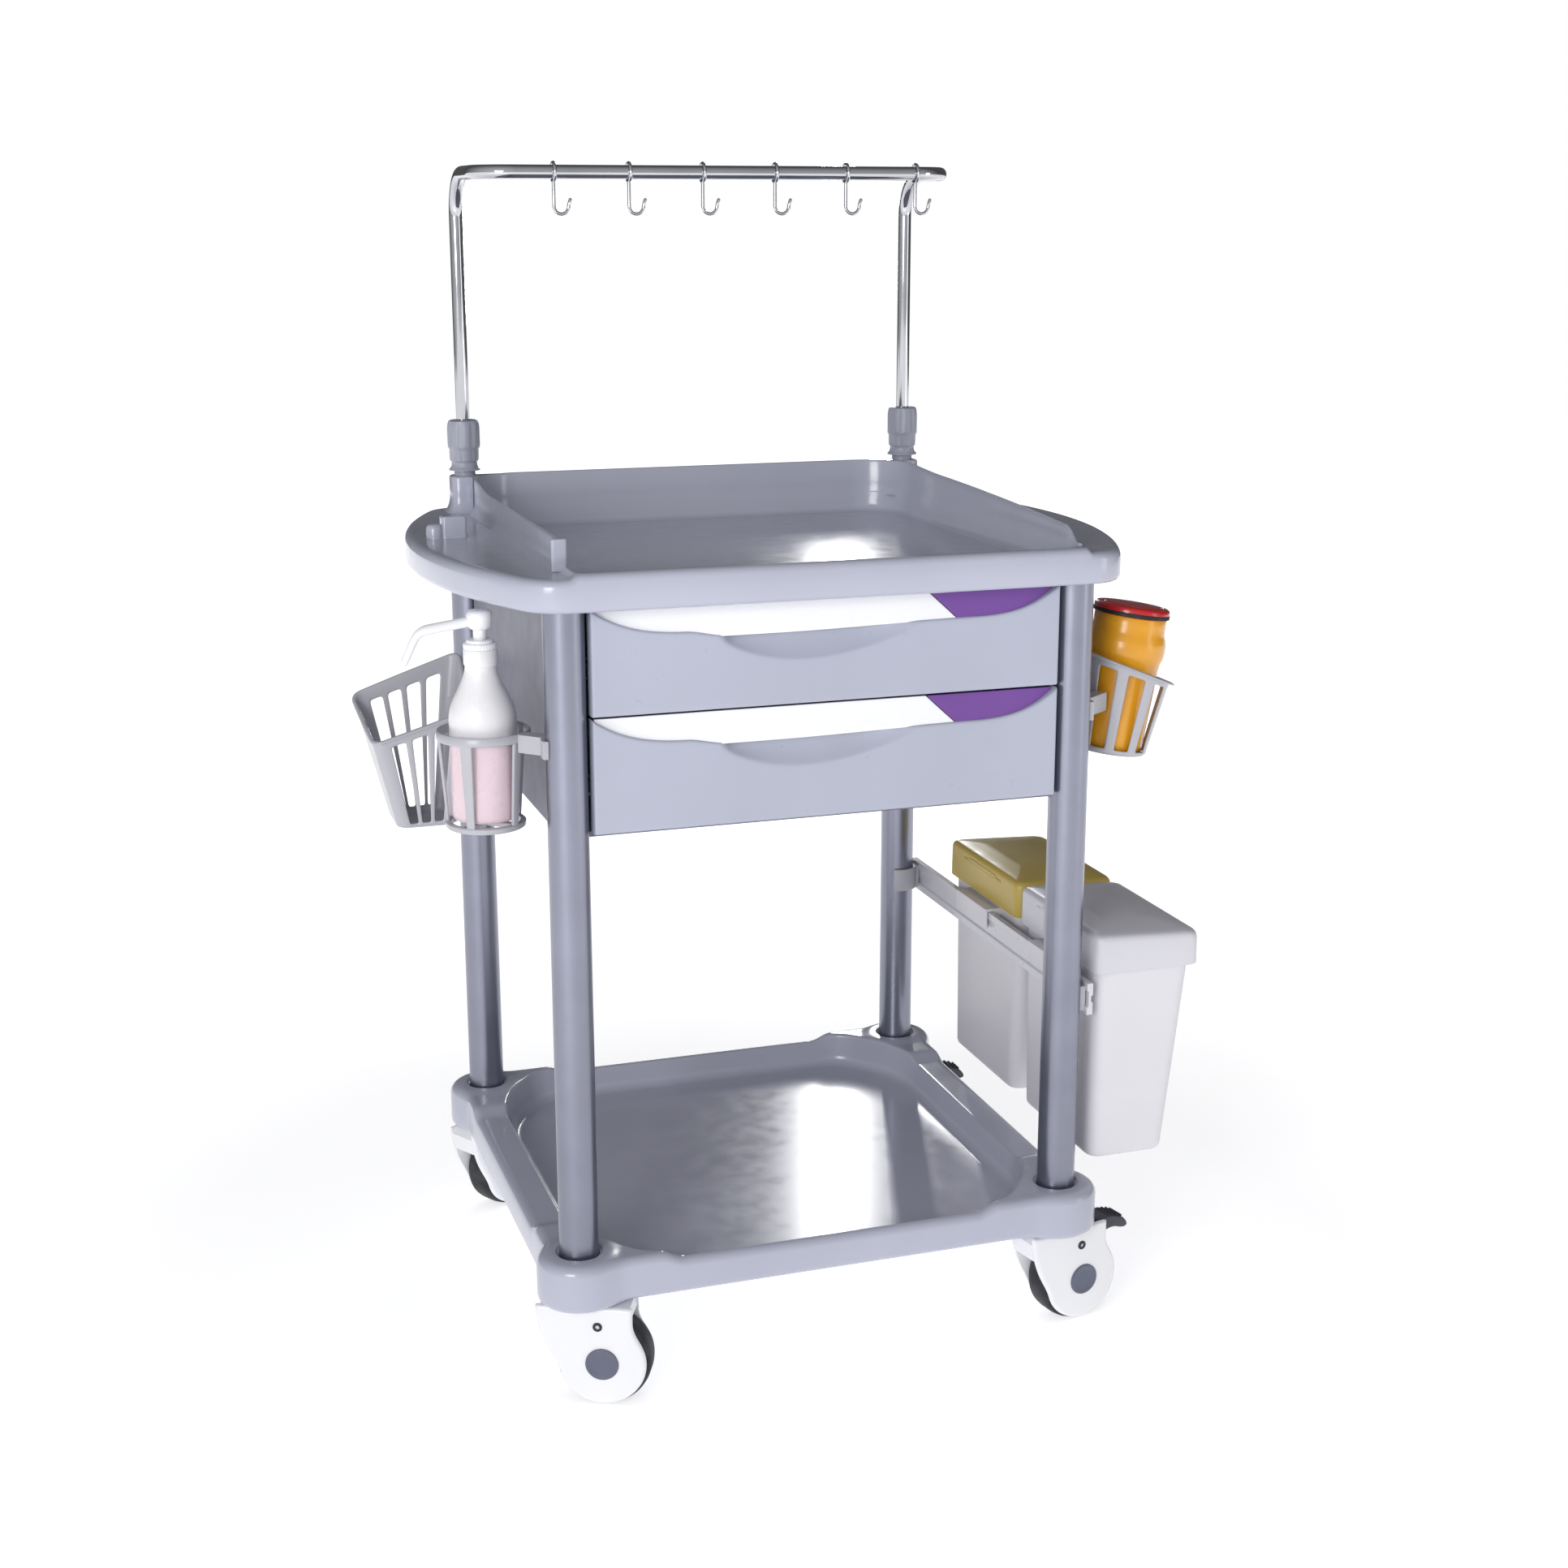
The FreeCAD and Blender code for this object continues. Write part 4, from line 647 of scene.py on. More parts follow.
def build_guard_rail():
    """Low wall on three sides of the tray, between two posts. On the right it bows down to a sloping end and
    on the left it ends in a folded fin. Its foot runs down over the tray's wall."""
    low, high = cad("guard_rail")
    rim, top = low[2] - 5, high[2]
    front_y, line_x, line_y, bend = low[1] + 5, COLUMN_X - 4.5, COLUMN_Y + 10.5, 60
    tip_y = front_y - 32
    side = [(line_x, y) for y in np.linspace(tip_y, line_y - bend, 60)]
    arc = [(line_x - bend + bend * cos(a), line_y - bend + bend * sin(a))
           for a in np.linspace(0, pi / 2, 22)[1:]]
    behind = [(x, line_y) for x in np.linspace(line_x - bend, 0, 24)[1:]]
    half = np.array(side + arc + behind)
    mirrored = (half * (-1, 1))[-2::-1]
    path = np.vstack([half, mirrored[mirrored[:, 1] > front_y - 0.5]])
    ahead = np.gradient(path, axis=0)
    ahead /= np.linalg.norm(ahead, axis=1)[:, None]
    outward = np.stack([ahead[:, 1], -ahead[:, 0]], 1)
    rings = []
    for spot, away in zip(path, outward):
        x, y = spot
        back = line_y - bend
        if x > 0:
            travel = np.clip((back - y) / (back - front_y), 0, 1)
            crest = top - 4 * float(smoothstep(-y, -back - 40, -back + 90)) - 15 * travel ** 1.7
            crest -= (crest - rim - 4) * float(smoothstep(-y, -front_y, -tip_y)) ** 0.8
        else:
            crest = top - 10 * float(smoothstep(-y, -back - 30, -back + 70))
            crest -= 2 * float(smoothstep(-y, -back, -front_y))
        crest = max(crest, rim + 7)
        rise = min(crest - rim - 3, 13) / 13
        section = [(-6.6, rim - 12), (-5.4, rim - 6), (-3.6, rim + 4 * rise), (-2.6, rim + 13 * rise),
                   (-2.5, crest - 2.5), (-1.8, crest - 0.8), (0, crest), (1.8, crest - 0.8),
                   (2.5, crest - 2.5), (2.5, rim + 13 * rise), (3.1, rim + 8 * rise), (5, rim + 4 * rise),
                   (9, rim + 0.6), (9, rim - 3), (-2, rim - 12)]
        rings.append([(x + away[0] * n, y + away[1] * n, z) for n, z in section])
    wall = loft(rings)
    extras = []
    for _, sx in SIDES:
        post = rectangle(sx * COLUMN_X - 17, sx * COLUMN_X + 17, COLUMN_Y - 17, COLUMN_Y + 17, 9)
        levels = [(-9, rim - 1), (-6.5, rim + 0.8), (-3.5, rim + 3.5), (-1.4, rim + 8), (-0.4, rim + 14),
                  (0, rim + 20), (0, top - 2.5), (0.7, top - 0.8), (2.4, top)]
        extras.append(plate(post, 0, 0, 0, levels=levels))
        web = [(sx * (line_x - 38), line_y + 1.5), (sx * (line_x - 19), line_y - 18),
               (sx * (line_x + 1.5), line_y - 40), (sx * (line_x + 1.5), line_y + 1.5)]
        extras.append(plate(np.array(web[::int(sx)]), rim + 1, top - 0.7, 0.4))
    fin = rectangle(-(line_x + 12.5), -(line_x - 3), front_y - 5, front_y + 1, 2.4)
    extras.append(plate(fin, rim, top - 9, 1.8))
    holes = pole_holes(rim - 4, top + 4)
    add_piece("guard_rail_moulding", wall, "guard_rail", unite=extras, holes=holes, sharp=42)


# ---- drawers ----

FRONT_SCOOP = (-117, 100)


def front_drop(x, half):
    """How far the upper edge of a drawer front lies below its corners."""
    left = 1 - (1 - np.clip((x + half) / 118, 0, 1)) ** 3.2
    right = 1 - (1 - np.clip((half - x) / 104, 0, 1)) ** 3.0
    waist = 26 + 5 * smoothstep(x, -152, -112) - 3 * smoothstep(x, -60, 146)
    return left * right * waist


def build_drawer_front(tag):
    node = "drawer_%s_front" % tag
    low, high = cad(node)
    half, top, bottom, face, back = high[0], high[2], low[2], low[1], high[1]
    edge = 2.6
    start, end = FRONT_SCOOP
    ends = edge * (1 - np.cos(np.linspace(0, pi / 2, 6)))
    x = np.concatenate([-half + ends, np.linspace(-half + edge, half - edge, 170)[1:-1], half - ends[::-1]])
    rings = []
    for here in x:
        crest = top - float(front_drop(here, half))
        side = min(here + half, half - here, edge)
        tuck = edge - sqrt(max(edge ** 2 - (edge - side) ** 2, 0))
        u = np.clip((here - start) / (end - start), 0, 1)
        sag = 29 * sin(pi * u ** 0.8) ** 0.8 if 0 < u < 1 else 0.0
        deep = 9.5 * float(smoothstep(here, start - 2, start + 12)) * (1 - float(smoothstep(here, 10, end)))
        turns = np.linspace(0, pi / 2, 5)
        ring = [(back, bottom)]
        for a in turns:
            ring.append((face + tuck + edge * (1 - sin(a)), bottom + edge * (1 - cos(a))))
        for z in np.linspace(bottom + edge, crest - edge, 46)[1:]:
            t = min(max((z - crest + sag) / max(sag, 1), 0), 1)
            t = 1 - (1 - t) ** 1.7
            ring.append((face + tuck + deep * t, z))
        sunk = face + tuck + (deep if sag > 0.5 else 0.0)
        for a in turns[1:]:
            ring.append((min(sunk + edge * (1 - cos(a)), back), crest - edge + edge * sin(a)))
        ring.append((back, crest))
        rings.append([(here, y, z) for y, z in ring])
    add_piece(node + "_shell", loft(rings), node, sharp=40)


def build_drawer_strip(tag):
    """Label strip and corner accent: one panel that leans back above the front, split by a slanting joint."""
    front_low, front_high = cad("drawer_%s_front" % tag)
    half, top, face = front_high[0], front_high[2], front_low[1]
    split_low, split_high, gap = 134, 104, 0.6
    for kind, from_left in (("label_strip", True), ("accent", False)):
        node = "drawer_%s_%s" % (tag, kind)
        front, back = [], []
        for v in np.linspace(0, 1, 13):
            split = split_low + (split_high - split_low) * v
            limits = (-half + 3.5, split - gap) if from_left else (split + gap, half - 4)
            row_front, row_back = [], []
            for x in np.linspace(*limits, 90 if from_left else 40):
                foot = top - float(front_drop(x, half)) - 1.2
                z = foot + (top - 0.6 - foot) * v
                lean = face + 1.4 + 8.5 * (z - (top - 31)) / 31
                row_front.append((x, lean, z))
                row_back.append((x, lean + 3, z))
            front.append(row_front)
            back.append(row_back)
        add_piece(node + "_panel", slab(front, back), node, bevel=0.7, sharp=30)


# ---- casters ----

def build_caster(tag, braked):
    """Cover of two keyhole plates and a hood, wheel with hub and tyre, caps, screws and pedal."""
    fork = "caster_%s_fork" % tag
    axle = JOINT["roll_" + tag]
    turn = atan2(-axle["axis"][0], axle["axis"][1])
    swivel = JOINT["swivel_" + tag]["pos_m"]
    home = shift(swivel[0] / MM, swivel[1] / MM, 0) @ Matrix.Rotation(turn, 4, "Z")
    wheel = home.inverted() @ Vector(middle("caster_%s_wheel" % tag))
    trail, radius = wheel.x, wheel.z
    top = cad(fork)[1][2]
    half, slot = 23, 17.5
    left, right = -44, 58

    def cover(x, z):
        disc = np.hypot(x - trail, z - radius) - 46
        lower = -0.887 * (x - left) - 0.461 * (z - 88)
        hood = np.maximum(np.maximum(left - x, x - right), np.maximum(z - top, 44 - z))
        hood = smooth_common(hood, lower, 14)
        return smooth_union(disc, hood, 9)

    parts = []
    for sign in (-1, 1):
        rings = []
        for depth, height in edge_levels(slot, half, 4.2, 0.8):
            line = level_line(cover, depth, (8, 76), 240, 130)
            rings.append(np.stack([line[:, 0], np.full(len(line), sign * height), line[:, 1]], 1))
        parts.append(loft(rings))
    over = 53
    reach = 112 if braked else 62
    arc = [(trail + over * cos(a), radius + over * sin(a)) for a in np.radians(np.linspace(148, reach, 18))]
    end_x, end_z = arc[-1]
    if braked:
        end = [(end_x + 1, top)]
    else:
        end = [(end_x + 6, end_z + 4), (end_x + 4, top - 2), (end_x - 4, top)]
    roof = np.array([(left + 3, 86)] + arc + end + [(left + 8, top), (left + 1, top - 8)])
    parts.append(plate(roof, -slot - 0.5, slot + 0.5, 0.2, "y"))
    add_piece(fork + "_cover", moved(joined(*parts), home), fork, sharp=45)

    spin = turned(90, "X")
    axle_place = home @ shift(trail, 0, radius)
    tyre = [(38, -13), (41, -15.4), (44.5, -16), (47.6, -14.8), (49.3, -12), (50, -7), (50, 7), (49.3, 12),
            (47.6, 14.8), (44.5, 16), (41, 15.4), (38, 13)]
    hub = [(4.2, -13), (10, -13), (12, -11.5), (13, -7), (16, -6), (32, -6), (34.5, -8), (35.5, -12.5),
           (37, -14), (38.6, -13.4), (38.6, 13.4), (37, 14), (35.5, 12.5), (34.5, 8), (32, 6), (16, 6),
           (13, 7), (12, 11.5), (10, 13), (4.2, 13)]
    node = "caster_%s_wheel" % tag
    add_piece(node + "_tyre", moved(lathe(tyre, 128, True), axle_place @ spin), node, sharp=50)
    add_piece(node + "_hub", moved(lathe(hub, 96, True), axle_place @ spin), node, False, HUB_GREY, sharp=40)

    node = "caster_%s_axle_set" % tag
    cap = [(17.5, 0), (17.5, 1.1), (16.9, 1.8), (15.8, 2), (14.6, 1.7), (13.8, 1.2), (6, 1.1), (0.4, 1.3)]
    screw = [(5, -0.6), (5, 0.7), (4.4, 1.3), (3.4, 1.5)]
    discs, screws = [], []
    for sign in (-1, 1):
        outwards = turned(90 * -sign, "X")
        discs.append(moved(lathe(cap, 64), axle_place @ shift(0, sign * half, 0) @ outwards))
        spot = home @ shift(trail - 4, sign * half, 92)
        screws.append(moved(joined(head_open(screw), hex_socket(3.4, 1.5, 2.2, -0.5)), spot @ outwards))
    rod = moved(lathe([(4, -24), (4, 24)], 32), axle_place @ spin)
    add_piece(node + "_caps", joined(rod, *discs), node, sharp=40)
    add_piece("caster_%s_screws" % tag, joined(*screws), node, False, DARK_STEEL, sharp=30)

    if braked:
        node = "brake_pedal_" + tag
        pivot_x, pivot_z = 52, 102
        lever = rounded([(pivot_x - 8, pivot_z - 2), (pivot_x + 2, pivot_z - 9), (pivot_x + 22, pivot_z - 4),
                         (pivot_x + 37, pivot_z - 9.5), (pivot_x + 44, pivot_z - 6),
                         (pivot_x + 36, pivot_z + 5), (pivot_x + 18, pivot_z + 10.5),
                         (pivot_x - 2, pivot_z + 9)], 7, 7, True)
        arm = plate(lever, -13.5, 13.5, 2.2, "y")
        pin = moved(lathe([(3, -21), (3, 21)], 32), shift(pivot_x, 0, pivot_z) @ spin)
        grips = []
        for step in range(4):
            x = pivot_x + 17 + 6 * step
            z = pivot_z + 10.2 - 0.03 * (step * 6) ** 1.75
            grips.append(tube([(x, -10, z), (x, 10, z)], 1.1, 12))
        add_piece(node + "_lever", moved(joined(arm, pin, *grips), home), node, sharp=40)


def head_open(profile):
    """Screw head whose top is left open for its socket."""
    points, faces = lathe(profile, 48)
    return points, faces[:-1]


def hex_socket(rim, rim_z, size, floor_z):
    """Top face of a screw head that leads into a six-sided hole."""
    angles = np.arange(48) * 2 * pi / 48
    spread = size / np.cos((angles % (pi / 3)) - pi / 6)
    rings = []
    for r, z in ((np.full(48, rim), rim_z), (spread, rim_z), (spread, floor_z)):
        rings.append(np.stack([r * np.cos(angles), r * np.sin(angles), np.full(48, float(z))], 1))
    points, faces = loft(rings)
    return points, faces[:-2] + faces[-1:]


# ---- infusion frame ----

def build_infusion_frame():
    low, high = cad("iv_frame")
    radius = high[0] - COLUMN_X
    bar_y, bar_z, foot = low[1] + radius, high[2] - radius, low[2]
    x, y = COLUMN_X, COLUMN_Y
    reach = 48
    corners = [(-x, y, foot), (-x, y, bar_z), (-x, bar_y, bar_z), (x, bar_y, bar_z), (x, y, bar_z),
               (x, y, foot)]
    path = arc_path(corners, (0, reach, 40, 40, reach, 0), 24)
    add_piece("iv_frame_tube", tube(path, radius, 40), "iv_frame", sharp=60)

    sockets = []
    for _, sx in SIDES:
        low, high = cad("iv_sockets")
        wall = [(7.7, low[2]), (12, low[2]), (12, high[2] - 1), (11.2, high[2]), (8.4, high[2]),
                (7.7, high[2] - 0.8)]
        sockets.append(moved(lathe(wall, 64, True), shift(sx * x, y, 0)))
    add_piece("iv_sockets_sleeves", joined(*sockets), "iv_sockets", sharp=40)

    for side, sx in SIDES:
        node = "collar_" + side
        low, high = cad(node)
        base, top = low[2], high[2]

        def flutes(angles, z):
            grip = float(smoothstep(z, base + 25, base + 29)) * (1 - float(smoothstep(z, top - 4, top)))
            waist = float(smoothstep(z, base + 9, base + 11))
            waist *= 1 - float(smoothstep(z, base + 22, base + 26))
            lobes = 1 - 0.075 * grip * (0.5 - 0.5 * np.cos(8 * angles)) ** 1.6
            facets = np.cos(((angles + pi / 8) % (pi / 4)) - pi / 8)
            return lobes * (1 - waist * 0.6 * (1 - facets))

        outside = [(r, base + z) for r, z in ((17.8, 0), (17.8, 1.2), (16.4, 2.6), (14.9, 5), (14.6, 8),
                                              (15.0, 10), (16.6, 11.5), (16.8, 22), (17.0, 24.5),
                                              (18.3, 26.5), (18.5, 29))]
        outside += [(18.5, top - 9), (17.9, top - 4), (16.6, top - 1), (14.5, top)]
        bore = [(8.6, top), (7.7, top - 1), (7.7, base + 31), (12.4, base + 30), (12.4, base)]
        ring = lathe(outside + bore, 128, True, flutes)
        add_piece(node + "_grip", moved(ring, shift(sx * x, y, 0)), node, sharp=40)

    eye = radius + 2.3
    wire = 1.8
    for number in range(6):
        node = "hook_%d" % (number + 1)
        low, high = cad(node)
        centre = Vector(((low[0] + wire), bar_y, bar_z))
        ring = [(0, eye * cos(a), eye * sin(a)) for a in np.arange(40) * 2 * pi / 40]
        drop = low[2] - bar_z + wire
        bow = (high[0] - low[0]) / 2 - wire - 1
        shank = [(0, 0, -eye), (0, 0, drop + bow)]
        bend = [(bow - bow * cos(a), 0, drop + bow - bow * sin(a)) for a in np.linspace(0, pi, 20)[1:]]
        tip = [(2 * bow + 0.8, 0, drop + bow + 3.5), (2 * bow + 2, 0, drop + bow + 7)]
        shape = joined(tube(ring, wire, 14, True), tube(shank + bend + tip, wire, 14))
        add_piece(node + "_wire", moved(shape, Matrix.Translation(centre)), node, sharp=60)


def arc_path(corners, radii, steps=14):
    """Polyline with true arcs at its inner corners."""
    p = [np.array(c, float) for c in corners]
    made = [p[0]]
    for before, corner, after, radius in zip(p, p[1:], p[2:], radii[1:]):
        one = (before - corner) / np.linalg.norm(before - corner)
        two = (after - corner) / np.linalg.norm(after - corner)
        half = acos(np.clip(one @ two, -1, 1)) / 2
        centre = corner + (one + two) / np.linalg.norm(one + two) * radius / sin(half)
        start, end = corner + one * radius / tan(half), corner + two * radius / tan(half)
        a, b = start - centre, end - centre
        angle = acos(np.clip(a @ b / radius ** 2, -1, 1))
        for t in np.linspace(0, 1, steps):
            made.append(centre + (sin((1 - t) * angle) * a + sin(t * angle) * b) / sin(angle))
    made.append(p[-1])
    return np.array(made)


# ---- side accessories ----

def build_bin_rail():
    """Flat bar with a raised edge along its top and bottom and a shallow groove on its outer face."""
    low, high = cad("bin_rail")
    inner, outer, foot, top = low[0], high[0], low[2], high[2]
    middle_z = (foot + top) / 2
    section = [(inner, foot), (outer, foot), (outer, middle_z - 4), (outer - 2, middle_z - 3),
               (outer - 2, middle_z + 3), (outer, middle_z + 4), (outer, top), (inner, top), (inner, top - 8),
               (inner + 2, top - 10), (inner + 2, foot + 10), (inner, foot + 8)]
    add_piece("bin_rail_bar", plate(np.array(section, float), low[1], high[1], 0.7, "y"), "bin_rail",
              sharp=25)


def build_bin(tag):
    """Tapered bin with a rolled rim, a hanger and hinge clips, and a deep lid with a domed top."""
    node = "bin_" + tag
    low, high = cad(node)
    lid_low, lid_high = cad(node + "_lid")
    y = (low[1] + high[1]) / 2
    hinge = JOINT["bin_%s_lid_hinge" % tag]["pos_m"]
    back = hinge[0] / MM + 4
    half_top, half_foot = (high[1] - low[1]) / 2, (high[1] - low[1]) / 2 - 8
    outer_top, outer_foot = high[0], high[0] - 24
    foot, rim = low[2], hinge[2] / MM + 3
    wall = 2.5

    def ring(share, shrink, z):
        reach = outer_foot + (outer_top - outer_foot) * share
        half = half_foot + (half_top - half_foot) * share
        line = rectangle(back + shrink, reach - shrink, y - half + shrink, y + half - shrink,
                         14 - shrink * 0.6, 9)
        return at_height(line, z)

    deep = rim - foot
    rings = [ring(0, 6, foot), ring(0, 3, foot + 0.6), ring(0, 1, foot + 2.4), ring(0.02, 0, foot + 6)]
    rings += [ring(t, 0, foot + deep * t) for t in (0.3, 0.6, 0.84)]
    rings += [ring(0.99, 0, rim - 1), ring(1, 0.7, rim), ring(1, wall - 0.6, rim), ring(0.99, wall, rim - 1)]
    rings += [ring(t, wall, foot + deep * t) for t in (0.84, 0.6, 0.3, 0.04)]
    rings += [ring(0.01, wall + 3, foot + wall + 1), ring(0, wall + 8, foot + wall)]
    rail = cad("bin_rail")
    inner, outer, rail_top = rail[0][0], rail[1][0], rail[1][2]
    hook = rounded([(back + 0.6, rail_top - 8), (back + 0.6, rail_top + 4), (inner - 4, rail_top + 4),
                    (inner - 4, rail_top - 20), (inner - 1, rail_top - 20), (inner - 1, rail_top + 0.5),
                    (outer + 1, rail_top + 0.5), (outer + 1, rail_top - 8)], 1.2, 4, True)
    hanger = moved(plate(hook, -45, 45, 0.6, "y"), shift(0, y, 0))
    clips = []
    pin_x, pin_z = hinge[0] / MM, hinge[2] / MM
    for sign in (-1, 1):
        clip = rounded([(pin_x - 0.9, pin_z - 3), (pin_x - 0.6, pin_z - 12), (back + 0.6, pin_z - 14),
                        (back + 0.6, pin_z + 4), (pin_x - 0.9, pin_z + 4.2)], 3, 6, True)
        start, end = sorted((sign * 43.5, sign * 54.5))
        clips.append(moved(plate(clip, start, end, 0.6, "y"), shift(0, y, 0)))
    add_piece(node + "_shell", joined(loft(rings), hanger, *clips), node, sharp=40)

    node += "_lid"
    skirt, crest = lid_low[2], lid_high[2]
    top = crest - 9
    half = (lid_high[1] - lid_low[1]) / 2
    reach = lid_high[0]
    start = pin_x - 1.4

    def arch(x, ys):
        """Drop of the domed top below its crest."""
        along = (ys - y) / half
        across = (x - start) / (reach - start)
        return 7 * along ** 2 + 11 * np.clip(across - 0.3, 0, 1) ** 1.7

    def cap(shrink, below, domed=1.0, radius=10):
        pull = min(shrink, 3 + shrink * 0.5)
        line = rectangle(start + pull, reach - shrink, y - half + shrink, y + half - shrink,
                         max(radius - shrink * 0.3, 3), 9)
        if not domed:
            return at_height(line, below)
        return at_height(line, lambda px, py: crest - below - arch(px, py) * domed)

    inside = [cap(50, 4), cap(30, 4.2), cap(14, 5), cap(6, 8), cap(3.6, 12), cap(2.6, 22, 0.4)]
    outside = [cap(2.5, skirt + 1, 0), cap(1.6, skirt, 0), cap(0.6, skirt, 0), cap(0, skirt + 1, 0),
               cap(0.3, 20, 0.4), cap(0.4, 8), cap(0.8, 5.4), cap(1.8, 3.2), cap(3.4, 1.8), cap(6, 1.0),
               cap(12, 0.6), cap(26, 0.3), cap(38, 0.1), cap(50, 0)]
    panels = loft(inside + outside)
    tongue = rounded([(pin_x - 2.4, pin_z), (pin_x, pin_z - 2.6), (pin_x + 2.4, pin_z - 0.4),
                      (pin_x + 3, top - 4), (pin_x - 1.6, top - 4)], 1.6, 5, True)
    hinge_arm = moved(plate(tongue, -40, 40, 0.5, "y"), shift(0, y, 0))
    pin = moved(lathe([(2, -54), (2, 54)], 24), shift(pin_x, y, pin_z) @ turned(90, "X"))
    add_piece(node + "_cap", joined(panels, hinge_arm, pin), node, sharp=40)


def build_bottle():
    """Blown bottle, its collar, the pump with its bent spout, and the strap holder."""
    low, high = cad("bottle")
    x, y = (low[0] + high[0]) / 2, (low[1] + high[1]) / 2
    foot, radius = low[2], (high[0] - low[0]) / 2
    home = shift(x, y, foot)
    neck = high[2] - foot
    shoulder = 100
    outside = [(radius - 6, 0), (radius - 2.2, 0.8), (radius - 0.5, 3), (radius, 7), (radius, shoulder)]
    turns = np.linspace(0, 1, 14)[1:]
    for t in turns:
        inwards = (radius - 15.8) * float(smoothstep(t, 0, 1)) ** 1.15
        outside.append((radius - inwards, shoulder + t * (neck - 17 - shoulder)))
    outside += [(16.8, neck - 16), (17, neck - 15), (17, neck - 1), (16.4, neck), (9.6, neck),
                (9, neck - 0.6)]
    inside = [(9, neck - 16), (13, neck - 24), (radius - 4, shoulder + 4), (radius - 2, shoulder - 6),
              (radius - 2, 6), (radius - 5, 3.2), (0.5, 3.0)]
    add_piece("bottle_body", moved(lathe(outside + inside, 96), home), "bottle", sharp=50)

    low, high = cad("pump_collar")
    tall = high[2] - low[2]

    def ribs(angles, z):
        return 1 - 0.02 * (0.5 - 0.5 * np.cos(36 * angles)) * (0.8 < z < tall - 1.2)

    ring = [(5.4, 0), (16.6, 0), (16.9, 1), (16.9, tall - 4.6), (16.2, tall - 3.6), (13.8, tall - 3.2),
            (13.5, tall - 0.8), (12.6, tall), (5.4, tall)]
    add_piece("pump_collar_ring", moved(lathe(ring, 216, True, ribs), shift(x, y, low[2])), "pump_collar",
              sharp=40)

    low, high = cad("pump_head")
    top = high[2] - foot
    head = [(5, low[2] - foot)]
    head += [(r, top - drop) for r, drop in ((5, 34), (6.6, 32), (6.6, 20), (9.6, 18.6), (11.8, 15.5),
                                             (13, 6), (12.4, 2.6), (10.4, 0.7), (6, 0), (0.4, 0))]
    exit_z = top - 11
    tip = low[0] - x + 5
    spout = rounded([(-6, 0.4, exit_z), (-60, 3, exit_z - 8), (tip, 5, exit_z - 38)], 10, 10)
    radii = np.linspace(5.2, 3.9, len(spout))
    add_piece("pump_head_body", moved(lathe(head, 72), home), "pump_head", sharp=40,
              unite=[moved(tube(spout, radii, 28), home)])

    low, high = cad("bottle_holder")
    outer, ring_top = (high[0] - low[0]) / 2, high[2]
    ring_z = ring_top - 4.5
    band = [(outer - 3.6, ring_top - 9), (outer - 1.2, ring_top - 9), (outer, ring_top - 7.6),
            (outer, ring_top - 1.6), (outer - 1.2, ring_top), (outer - 3.0, ring_top),
            (outer - 4, ring_top - 1.4), (outer - 4, ring_top - 7.8)]
    pieces = [lathe([(r, z - foot) for r, z in band], 120, True)]
    base = low[2]
    low_band = [(34.5, base), (39, base), (40, base + 1), (40, base + 5), (39, base + 6), (34.5, base + 6)]
    pieces.append(lathe([(r, z - foot) for r, z in low_band], 120, True))
    for angle in (45, 135):
        bar = plate(rectangle(-37, 37, -4.5, 4.5, 1.5), base + 1 - foot, base + 6 - foot, 1)
        pieces.append(moved(bar, turned(angle, "Z")))
    for number in range(5):
        rings = []
        for t in np.linspace(0, 1, 8):
            z = base + 1 + (ring_z + 2 - base) * t - foot
            reach = 37 + (outer - 3 - 37) * t
            width = 4.2 + 2.2 * t
            section = rectangle(reach - 1.6, reach + 1.8, -width, width, 1.2, 4)
            rings.append(at_height(section, z))
        pieces.append(moved(loft(rings), turned(72 * number + 20, "Z")))
    add_piece("bottle_holder_cage", moved(joined(*pieces), home), "bottle_holder", sharp=40)


def slotted_wall(lines, cells, base_rows, levels, slots):
    """Points and faces of a wall that is open where slots(cell, low, high) says so. Lines are the (foot, rim)
    pairs round it, base_rows the closed rows under it and levels the shares of its height."""
    rows = list(base_rows)
    shares = [-1.0] * len(rows)
    for t in levels:
        rows.append([start + (end - start) * t for start, end in lines])
        shares.append(t)
    count = len(lines)
    points = [tuple(p) for row in rows for p in row]
    faces = [tuple(range(count))[::-1]]
    for r in range(len(rows) - 1):
        for c in range(count):
            if slots(cells[c], shares[r], shares[r + 1]):
                continue
            d = (c + 1) % count
            faces.append((r * count + c, r * count + d, (r + 1) * count + d, (r + 1) * count + c))
    return points, faces


def carry_on(points, faces, rows):
    """Take a wall on by more rows of points beyond its last one."""
    for row in rows:
        first, count = len(points), len(row)
        points += [tuple(p) for p in row]
        for c in range(count):
            d = (c + 1) % count
            faces.append((first - count + c, first - count + d, first + d, first + c))


